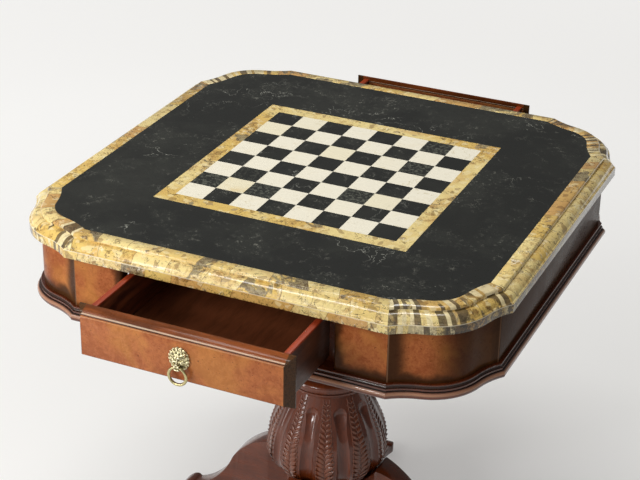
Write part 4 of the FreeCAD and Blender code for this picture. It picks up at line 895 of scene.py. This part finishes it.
def make_finishes(colours):
    """Every material of the table by its own name."""
    effects, plan = make_effects(), top_plan()
    squares, frieze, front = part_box("light_squares"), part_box("frieze_right"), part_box("front_drawer_front")
    square = (squares[1].x - squares[0].x) / SQUARES_IN_ROW
    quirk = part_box("edge_front")[1].z - QUIRK_DROP
    bay = min(abs(corner.x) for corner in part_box("frieze_front_right"))
    flat = front[1].x - FRONT_BEVEL, front[0].z + FRONT_BEVEL, front[1].z - FRONT_BEVEL
    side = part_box("front_drawer_side_left")
    cherry = colours.cherry
    section = [corner.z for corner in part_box("moulding_front")]
    aged = tuple(part * AGEING for part in colours.brass)
    return {
        "field": black_marble("black_marble_field", effects, colours),
        "dark_square": black_marble("black_marble_squares", effects, colours, square),
        "light_square": cream_marble(effects, colours, square),
        "edge_stone": edge_marble(effects, colours, quirk, quirk - STEP_DROP, plan),
        "border_stone": border_marble(effects, colours),
        "burl": frieze_veneer(effects, colours, frieze[0].z + RUBBED_FOOT, frieze[1].z, bay, plan),
        "front_burl": front_veneer(effects, colours, *flat),
        "cherry_up": polished_wood("cherry_upright", effects, cherry, UPRIGHT),
        "cherry_x": polished_wood("cherry_along_x", effects, cherry, ALONG_X),
        "cherry_y": polished_wood("cherry_along_y", effects, cherry, ALONG_Y),
        "moulding_x": polished_wood("moulding_along_x", effects, cherry, ALONG_X, 0.2, section=section),
        "moulding_y": polished_wood("moulding_along_y", effects, cherry, ALONG_Y, 0.2, section=section),
        "carved": polished_wood("cherry_carved", effects, cherry, UPRIGHT, carved=True),
        "drawer": drawer_wood(effects, colours, side[1].z, abs(side[0].x)),
        # The drawer floors take the same painted shade.
        "drawer_inside": polished_wood("drawer_floor_sealed", effects, colours.drawer_shaded, ALONG_Y, 0.35),
        "board": plain_board(effects, colours),
        "brass": metal("aged_brass_ring", aged, TARNISH, 0.14),
        "cast_brass": metal("aged_brass_cast", aged, TARNISH, 0.24, cast=True),
        "steel": metal("zinc_steel", colours.steel, DULL_ZINC, 0.35),
        "felt": felt_pad(colours),
    }


FINISH = {}


def finish_for(name):
    """Materials are made once and then shared."""
    if not FINISH:
        FINISH.update(make_finishes(bpy.context.scene.table_colours))
    return FINISH[name]


# ---- operators -------------------------------------------------------------------------------------


class TABLE_OT_stone(bpy.types.Operator):
    """Field, squares, border and moulded edge"""

    bl_idname = "game_table.stone"
    bl_label = "Stone top"

    def execute(self, context):
        sizes = context.scene.table_sizes
        dress("field", "field_slab")
        dress("dark_square", "dark_squares")
        dress("light_square", "light_squares")
        dress("border_stone", "board_border")
        for node in STONE_EDGES:
            rounded(node, "table", sizes.stone_arris, "edge_stone")
        dress("board", "top_core")
        return {"FINISHED"}


class TABLE_OT_frame(bpy.types.Operator):
    """Frieze, corner blocks, base moulding and rails"""

    bl_idname = "game_table.frame"
    bl_label = "Frieze and mouldings"

    def execute(self, context):
        sizes = context.scene.table_sizes
        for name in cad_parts:
            if name.startswith(("frieze_", "corner_block_")):
                rounded(name, "table", sizes.wood_arris, "burl")
        dress("moulding_x", "moulding_front", "moulding_back")
        dress("moulding_y", "moulding_left", "moulding_right", "moulding_corners")
        dress("cherry_y", "runner_left", "runner_right", "centre_divider", "kickers")
        dress("cherry_x", "drawer_rail_front", "drawer_rail_back", "bearer_front", "bearer_back",
              "mounting_plate")
        return {"FINISHED"}


class TABLE_OT_drawers(bpy.types.Operator):
    """Drawer boxes and their moulded fronts"""

    bl_idname = "game_table.drawers"
    bl_label = "Drawers"

    def execute(self, context):
        sizes = context.scene.table_sizes
        for side in SIDES:
            body = f"{side}_drawer"
            rounded(f"{body}_front", body, sizes.stone_arris, "front_burl")
            for part in ("side_left", "side_right", "back"):
                rounded(f"{body}_{part}", body, sizes.wood_arris, "drawer")
            dress("drawer_inside", f"{body}_floor")
        return {"FINISHED"}


# The mask, in millimetres. Its centre lies this far below its top. The grid that is raised has this width
# and height, and this many steps.
MASK_DROP = 21
GRID_SIZE, GRID_STEPS = (40, 44), (126, 138)
# Its tallest point, the wall behind the relief, and the size of the cells that it is cast again in.
RELIEF_TOP, MASK_WALL, CAST_CELL = 14.0, 0.6, 0.32
# The bore that the ring hangs in: how far out and down its axis lies, and its radius.
MUZZLE_OUT, MUZZLE_DROP, MOUTH_BORE = 8.0, 11.5, 4.2
# Outline of the mask: half its width and height, how deep the locks' tips cut it, and its soft edge.
MASK_OVAL, TIP_CUT, RIM_SOFT = (18.4, 20.4), 0.03, 0.05
# Tiers of locks, outermost first: how many, inner and outer share of the mask, height at root and tip, twist.
MANE_TIERS = (
    (17, 0.68, 1.04, 5.0, 2.6, 0.55),
    (13, 0.58, 0.92, 6.4, 4.4, -0.55),
    (11, 0.48, 0.80, 7.4, 5.0, 0.4),
)
# Hills and hollows of the face: rise, place to the side and up, half width and half height.
FACE_FORMS = (
    (1.4, 0, 7.6, 5.0, 3.0),  # forehead
    (-1.1, 0, 8.2, 0.9, 2.6),  # furrow between the brows
    (2.0, 4.6, 5.0, 3.2, 1.3),  # brows
    (-4.4, 4.9, 1.6, 2.7, 1.9),  # eye sockets
    (2.6, 4.9, 1.4, 1.4, 0.9),  # eyeballs
    (1.7, 7.2, -3.4, 2.4, 2.8),  # cheeks
    (-1.6, 5.0, -5.4, 1.0, 2.4),  # folds beside the muzzle
)


class TABLE_OT_pulls(bpy.types.Operator):
    """Lion masks and their rings"""

    bl_idname = "game_table.pulls"
    bl_label = "Mask pulls"

    def execute(self, context):
        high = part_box("front_lion_mask")[1]
        mask = self.cast(Vector((0, high.y, high.z - MASK_DROP * MM)))
        turned = another(mask, Matrix.Rotation(math.pi, 4, "Z"))
        for side, item in zip(SIDES, (mask, settle(turned))):
            item.name = item.data.name = f"{side}_mask_cast"
            item.data.materials.append(finish_for("cast_brass"))
            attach(item, f"{side}_drawer")
            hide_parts(f"{side}_lion_mask")
            dress("brass", f"{side}_pull_ring")
        return {"FINISHED"}

    def cast(self, centre):
        """The mask: a fine grid raised by its forms, closed behind, bored for the ring and cast in one."""
        mask = start("grid", x_subdivisions=GRID_STEPS[0], y_subdivisions=GRID_STEPS[1], size=MM,
                     location=centre, rotation=(math.pi / 2, 0, 0))
        mask.name, mask.scale = "mask_cast", (*GRID_SIZE, 1)
        settle(mask)
        across = np.array([(point.co.x - centre.x) / MM for point in mask.data.vertices])
        up = np.array([(point.co.z - centre.z) / MM for point in mask.data.vertices])
        raised, inside = mask_relief(across, up)
        relief = mask.vertex_groups.new(name="relief")
        for number, height in enumerate(raised):
            relief.add([number], float(height) / RELIEF_TOP, "REPLACE")
        finish_with(mask, "DISPLACE", vertex_group="relief", mid_level=0, strength=RELIEF_TOP * MM)
        unmark(mask)
        for point, kept in zip(mask.data.vertices, inside):
            point.select = not kept
        bpy.ops.object.mode_set(mode="EDIT")
        bpy.ops.mesh.delete(type="VERT")
        bpy.ops.mesh.select_all(action="SELECT")
        bpy.ops.mesh.region_to_loop()
        bpy.ops.mesh.extrude_edges_move(TRANSFORM_OT_translate={"value": (0, MASK_WALL * MM, 0)})
        bpy.ops.mesh.edge_face_add()
        bpy.ops.mesh.select_all(action="SELECT")
        bpy.ops.mesh.normals_make_consistent(inside=False)
        bpy.ops.object.mode_set(mode="OBJECT")
        axis = centre + Vector((0, -MUZZLE_OUT, -MUZZLE_DROP)) * MM
        rod = start("cylinder", vertices=32, radius=MOUTH_BORE * MM, depth=60 * MM, location=axis,
                    rotation=(0, math.pi / 2, 0))
        finish_with(mask, "BOOLEAN", operation="DIFFERENCE", object=rod, solver="EXACT")
        bpy.data.objects.remove(rod)
        finish_with(mask, "REMESH", mode="VOXEL", voxel_size=CAST_CELL * MM)
        finish_with(mask, "SMOOTH", factor=0.5, iterations=1)
        return smooth(mark_hollows(mask, reach=20, depth=0.27 * MM), 60)


def ease(value):
    """From 0 to 1 and level at both ends."""
    share = np.clip(value, 0, 1)
    return share * share * (3 - 2 * share)


def mask_relief(across, up):
    """Height of the mask over the drawer front in millimetres, and whether a point belongs to it."""
    side = np.abs(across)
    turn = np.arctan2(up, across) - math.pi / 2
    far = np.hypot(across / MASK_OVAL[0], up / MASK_OVAL[1])
    from_foot = math.pi - np.abs(np.arctan2(across, up))

    def hill(place, height, wide, tall, power=2):
        """A rise of one, on both sides of the face."""
        return np.exp(-np.abs((side - place) / wide) ** power - np.abs((up - height) / tall) ** power)

    def over(first, second, soft=0.5):
        """The higher of two forms, run together softly where they meet."""
        return 0.5 * (first + second + np.sqrt((first - second) ** 2 + soft))

    mane = np.full(len(side), 1.4)
    for count, inner, outer, root, tip, twist in MANE_TIERS:
        way = np.clip((far - inner) / (outer - inner), 0, 1)
        lock = np.abs(np.cos(count * turn / 2 + twist * math.pi * way)) ** 0.6
        shape = ease((0.66 + 0.34 * lock - way) / 0.16) * (0.5 + 0.5 * lock) * (far > inner)
        mane = np.maximum(mane, (root + (tip - root) * way) * shape * ease((from_foot - 0.42) / 0.2))
    ears = 8.2 * hill(10.6, 9.8, 2.8, 3.2, 4) - 3.0 * hill(10.6, 9.6, 1.2, 1.6)

    oval = np.hypot(across / 11.4, (up + 1.2) / 13.4)
    face = np.where(oval < 1, 3.4 + 5.8 * np.sqrt(np.clip(1 - oval * oval, 0, 1)), 0)
    for rise, *place in FACE_FORMS:
        face += rise * hill(*place)
    bridge = np.exp(-(side / 2.5) ** 3) * ease((7.5 - up) / 4) * ease((up + 6.8) / 1.4)
    bridge *= 9.0 + (5 - up) * 0.36
    nose = 13.2 * hill(0, -5.5, 3.3, 1.9, 4) - 2.0 * hill(1.8, -6.6, 0.8, 0.7)

    block = ease((6.6 - side) / 2.2) * ease((up + 17.8) / 1.8) * ease((-5.2 - up) / 1.6)
    muzzle = 11.2 + 2.6 * hill(2.7, -9.2, 2.4, 2.3) - 0.9 * np.exp(-(side / 0.5) ** 2)
    mouth = np.exp(-((up + 13.2 - side * 0.22) / 0.8) ** 2)
    muzzle += 1.6 * hill(0, -15.9, 3.4, 1.4) - 2.4 * mouth

    height = over(np.maximum(mane, ears), face)
    height = np.minimum(height, 3.9 + 12 * ease((up + 9.0) / 4.5))
    height = over(height, np.maximum(bridge, np.maximum(nose, block * muzzle)), 0.3)
    rim = 1 + TIP_CUT * np.cos(MANE_TIERS[0][0] * turn + math.pi)
    return np.clip(height * ease((rim - far) / RIM_SOFT + 0.3), 0.3, RELIEF_TOP), far < rim


# The carved baluster: how many lands, the angle of the first one's middle, and how far in a ray starts.
LANDS, LAND_ANGLE, RAY_START = 10, math.radians(3.8), 300 * MM
# A land is measured from its middle in steps of this many degrees, until its surface has fallen by this much
# or this many degrees are reached.
LAND_STEP, LAND_FALL, WIDEST_LAND = 0.4, 0.2 * MM, 16
# A leaf band starts this far over the baluster's foot and ends this far below its head.
BAND_FOOT, BAND_HEAD = 4 * MM, 40 * MM
# Half its width at its head, how fast it widens below, and where the leaves stand a full step apart.
BAND_TIP, BAND_TAPER, FULL_BAND = 5.6 * MM, 0.09, 11.1 * MM
# The smallest step between leaves as a share of the full one; how far a leaf leans out; its width to length.
CLOSE_STEP, LEAF_LEAN, LEAF_WIDTH = 0.62, math.radians(48), 0.46
# The roots of a pair of leaves stand this angle off the middle of the band.
ROOT_APART = 0.006
# Points along a rib, how far it runs on over the band's head, and how much finer the middle one is.
RIB_POINTS, RIB_OVERRUN, MIDDLE_RIB = 28, 4 * MM, 0.55


class TABLE_OT_pedestal(bpy.types.Operator):
    """Column, carved baluster, hub, legs and fittings"""

    bl_idname = "game_table.pedestal"
    bl_label = "Pedestal"

    def execute(self, context):
        sizes = context.scene.table_sizes
        dress("cherry_up", "column", "baluster")
        self.carve(sizes)
        rounded("hub", "table", sizes.wood_arris * 2, "cherry_up")
        for sides, finish in ((("right", "left"), "cherry_x"), (("front", "back"), "cherry_y")):
            for side in sides:
                rounded(f"leg_{side}", "table", sizes.leg_arris, finish)
        dress("steel", "spider_plate", "tie_rod", "wood_screws")
        dress("felt", "glides")
        return {"FINISHED"}

    def carve(self, sizes):
        """Leaf bands on the lands of the baluster."""
        low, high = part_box("baluster")
        foot, head = low.z + BAND_FOOT, high.z - BAND_HEAD
        leaf = self.leaf()
        parts = []
        height = foot
        while height < head:
            half = self.half_band(height, head, sizes)
            for hand in (-1, 1):
                parts.append(another(leaf, self.leaf_place(height, half, hand, sizes)))
            height += sizes.leaf_step * (CLOSE_STEP + (1 - CLOSE_STEP) * min(1.0, half / FULL_BAND))
        for hand in (-1, 0, 1):
            parts.append(self.rib(foot, head, hand, sizes))
        bpy.data.objects.remove(leaf)
        band = united("leaf_band", parts)
        turns = [Matrix.Rotation(math.radians(360 / LANDS * number), 4, "Z") for number in range(1, LANDS)]
        bands = united("baluster_leaf_bands", [band] + [another(band, turn) for turn in turns])
        carving = smooth(mark_hollows(bands, reach=3, depth=0.4 * MM), 50)
        carving.data.materials.append(finish_for("carved"))
        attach(carving, "table")

    def on_land(self, angle, height):
        """Place and outward normal of the baluster at an angle and height."""
        way = Vector((math.cos(angle), math.sin(angle), 0))
        origin = way * RAY_START + Vector((0, 0, height))
        hit, place, normal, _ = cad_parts["baluster"].ray_cast(origin, -way)
        if not hit:
            raise RuntimeError("no baluster surface at this height")
        return place, normal

    def half_land(self, height):
        """Half the width of the flat land between two flutes."""
        full = self.on_land(LAND_ANGLE, height)[0].xy.length
        for step in range(2, round(WIDEST_LAND / LAND_STEP)):
            turn = math.radians(step * LAND_STEP)
            if self.on_land(LAND_ANGLE + turn, height)[0].xy.length < full - LAND_FALL:
                return full * (turn - math.radians(LAND_STEP))
        return full * math.radians(WIDEST_LAND)

    def half_band(self, height, head, sizes):
        """Half the width of a leaf band, which narrows to its top."""
        return min(self.half_land(height) - sizes.band_smooth, BAND_TIP + BAND_TAPER * (head - height))

    def leaf(self):
        """A pointed leaf of unit length with a raised midrib, its root at the origin and its tip along X."""
        leaf = start("uv_sphere", segments=10, ring_count=7, radius=0.5, rotation=(0, math.pi / 2, 0))
        leaf.location = (0.5, 0, 0)
        settle(leaf)
        move_points(leaf, lambda point: point.x > 0.62, scale=(1, 0.55, 0.8))
        move_points(leaf, lambda point: point.x > 0.85, scale=(1, 0.5, 0.7), shift=(0.08, 0, 0))
        move_points(leaf, lambda point: abs(point.y) < 0.1 and point.z > 0.1, shift=(0, 0, 0.16))
        return leaf

    def leaf_place(self, height, half, hand, sizes):
        """Matrix that lays the leaf on the land, pointing up and outwards."""
        place, normal = self.on_land(LAND_ANGLE + hand * ROOT_APART, height)
        side = Vector((0, 0, 1)).cross(normal).normalized() * hand
        up = normal.cross(side).normalized() * hand
        if up.z < 0:
            up.negate()
        along = (up * math.cos(LEAF_LEAN) + side * math.sin(LEAF_LEAN)).normalized()
        length = (half - sizes.rib_radius * 0.6) / math.sin(LEAF_LEAN)
        turn = Matrix((along, normal.cross(along), normal)).transposed().to_4x4()
        size = Matrix.Diagonal((length, length * LEAF_WIDTH, sizes.leaf_rise * 2, 1))
        return Matrix.Translation(place) @ turn @ size

    def rib(self, foot, head, hand, sizes):
        """Bead along a band: at either side, or fine along its middle."""
        radius = sizes.rib_radius
        path = bpy.data.curves.new("band_rib", "CURVE")
        path.dimensions, path.use_fill_caps = "3D", True
        path.bevel_depth, path.bevel_resolution = radius if hand else radius * MIDDLE_RIB, 2
        line = path.splines.new("POLY")
        line.points.add(RIB_POINTS - 1)
        end = head + RIB_OVERRUN
        for number, point in enumerate(line.points):
            height = foot + (end - foot) * number / (RIB_POINTS - 1)
            half = self.half_band(min(height, head), end, sizes)
            turn = hand * (half - radius * 0.2) / self.on_land(LAND_ANGLE, height)[0].xy.length
            point.co = (*self.on_land(LAND_ANGLE + turn, height)[0], 1)
        rib = bpy.data.objects.new("band_rib", path)
        bpy.context.scene.collection.objects.link(rib)
        pick(rib)
        bpy.ops.object.convert(target="MESH")
        return bpy.context.object


# Lamps, in metres and watts: name, place, aim, width, height, power and whether polished surfaces mirror it.
LAMPS = (
    ("key_panel", (-1.8, -2.6, 1.6), (0, -0.2, 0.6), 1.4, 1.8, 31, False),
    ("column_panel", (-1.9, -2.3, 1.35), (0, -0.1, 0.5), 0.24, 2.5, 22, True),
    ("window_panel", (-0.7, -3.1, 1.9), (0, -0.4, 0.65), 0.9, 0.25, 22, True),
    ("strip_panel", (-0.5, 0.35, 3.2), (0, -0.2, 0.75), 1.8, 0.7, 35, True),
    ("side_panel", (-3.2, 1.5, 2.2), (0, 0, 0.6), 1.6, 1.6, 9, False),
)
FLOOR_SIZE = 60
FLOOR_GLOW, SKY_COLOUR = (1.0, 0.995, 0.985), (1.0, 0.99, 0.975)
# The brightest part of the sky, and how bright the sky is where the camera looks straight at it.
BRIGHT_SIDE, BACKDROP = Vector((-0.5, -0.7, 0.5)), 0.92
# Camera: place in metres, turn in degrees, lens and film width in millimetres.
CAMERA_PLACE, CAMERA_TURN = (1.0989, -2.5096, 2.0069), (63.25342, -0.93926, 24.55651)
CAMERA_LENS, FILM_WIDTH = 96.08, 36


class TABLE_OT_stage(bpy.types.Operator):
    """Floor, lamps, world and camera"""

    bl_idname = "game_table.stage"
    bl_label = "Stage"

    def execute(self, context):
        scene = context.scene
        scene.view_settings.view_transform = "Standard"
        floor = start("plane", size=FLOOR_SIZE)
        floor.name = "studio_floor"
        floor.data.materials.append(self.floor_finish(scene.table_colours))
        self.world(scene)
        for row in LAMPS:
            self.lamp(*row)
        self.camera(scene)
        return {"FINISHED"}

    def floor_finish(self, colours):
        """Pale paint that glows a little to the eye, so that the ground stays pale and keeps a shadow."""
        finish = Finish("studio_floor_paint", Specular_IOR_Level=0.2)
        w = finish.w
        speckle = w.noise(finish.where, 3.0, 2.0, 0.5)["Fac"]
        finish.done(w.layer(colours.ground, speckle, 0.06, FLOOR_FLECK), 0.7)
        path = w.add("ShaderNodeLightPath").outputs
        seen = w.most(path["Is Camera Ray"], path["Is Glossy Ray"], path["Is Transmission Ray"])
        far = w.measure("LENGTH", finish.where)
        level = w.plus(w.between(far, 0.6, 2.4, 0.3, 0.48), w.between(far, 2.0, 6.0, 0.0, 0.24))
        glow = w.add("ShaderNodeEmission", {"Color": FLOOR_GLOW, "Strength": w.times(seen, level)})
        both = w.add("ShaderNodeAddShader", {0: finish.shader.outputs[0], 1: glow.outputs[0]})
        w.feed(finish.out.inputs[0], both.outputs[0])
        return finish.material

    def world(self, scene):
        """Soft light, stronger from above and from the front left, with a pale patch for polish to mirror."""
        world = bpy.data.worlds.new("studio_world")
        scene.world = world
        world.use_nodes = True
        w = Wiring(world.node_tree)
        back = world.node_tree.nodes["Background"]
        way = w.add("ShaderNodeTexCoord").outputs["Generated"]
        facing = w.measure("DOT_PRODUCT", way, BRIGHT_SIDE.normalized())
        path = w.add("ShaderNodeLightPath").outputs
        high = w.between(w.split(way)[2], 0.36, 0.5)
        patch = w.times(path["Is Glossy Ray"], high, w.between(facing, 0.84, 0.96, 0.0, 1.5))
        light = w.plus(w.between(facing, -0.6, 0.9, 0.14, 0.46), patch)
        w.feed(back.inputs["Strength"], w.scalar(path["Is Camera Ray"], light, BACKDROP))
        w.feed(back.inputs["Color"], SKY_COLOUR)

    def lamp(self, name, place, aim, wide, tall, power, mirrored):
        """A plain panel of light."""
        data = bpy.data.lights.new(name, "AREA")
        data.shape, data.size, data.size_y, data.energy = "RECTANGLE", wide, tall, power
        lamp = bpy.data.objects.new(name, data)
        bpy.context.scene.collection.objects.link(lamp)
        lamp.visible_glossy = mirrored
        lamp.location = place
        lamp.rotation_euler = (Vector(aim) - Vector(place)).to_track_quat("-Z", "Y").to_euler()

    def camera(self, scene):
        """The view of the table from above its right front corner."""
        data = bpy.data.cameras.new("table_camera")
        data.lens, data.sensor_width = CAMERA_LENS, FILM_WIDTH
        data.clip_start, data.clip_end = 0.1, 100
        camera = bpy.data.objects.new("table_camera", data)
        scene.collection.objects.link(camera)
        camera.location = CAMERA_PLACE
        camera.rotation_euler = [math.radians(turn) for turn in CAMERA_TURN]
        scene.camera = camera


class TABLE_PT_panel(bpy.types.Panel):
    """The table's pieces, in the order in which they are made"""

    bl_idname = "TABLE_PT_panel"
    bl_label = "Game table"
    bl_space_type = "VIEW_3D"
    bl_region_type = "UI"
    bl_category = "Game table"

    def draw(self, context):
        for operator in OPERATORS:
            self.layout.operator(operator.bl_idname)
        for group in (context.scene.table_sizes, context.scene.table_colours):
            box = self.layout.box()
            for name in group.__annotations__:
                box.prop(group, name)


OPERATORS = (TABLE_OT_stone, TABLE_OT_frame, TABLE_OT_drawers, TABLE_OT_pulls, TABLE_OT_pedestal,
             TABLE_OT_stage)
CLASSES = (TableColours, TableSizes, *OPERATORS, TABLE_PT_panel)


def register():
    """Make the classes and the scene's own settings known."""
    for item in CLASSES:
        bpy.utils.register_class(item)
    bpy.types.Scene.table_colours = bpy.props.PointerProperty(type=TableColours)
    bpy.types.Scene.table_sizes = bpy.props.PointerProperty(type=TableSizes)


def unregister():
    """Take back what register made known."""
    del bpy.types.Scene.table_sizes
    del bpy.types.Scene.table_colours
    for item in reversed(CLASSES):
        bpy.utils.unregister_class(item)


def main():
    """Make every piece in order."""
    register()
    for operator in OPERATORS:
        group, name = operator.bl_idname.split(".")
        getattr(getattr(bpy.ops, group), name)()


if __name__ == "__main__":
    main()
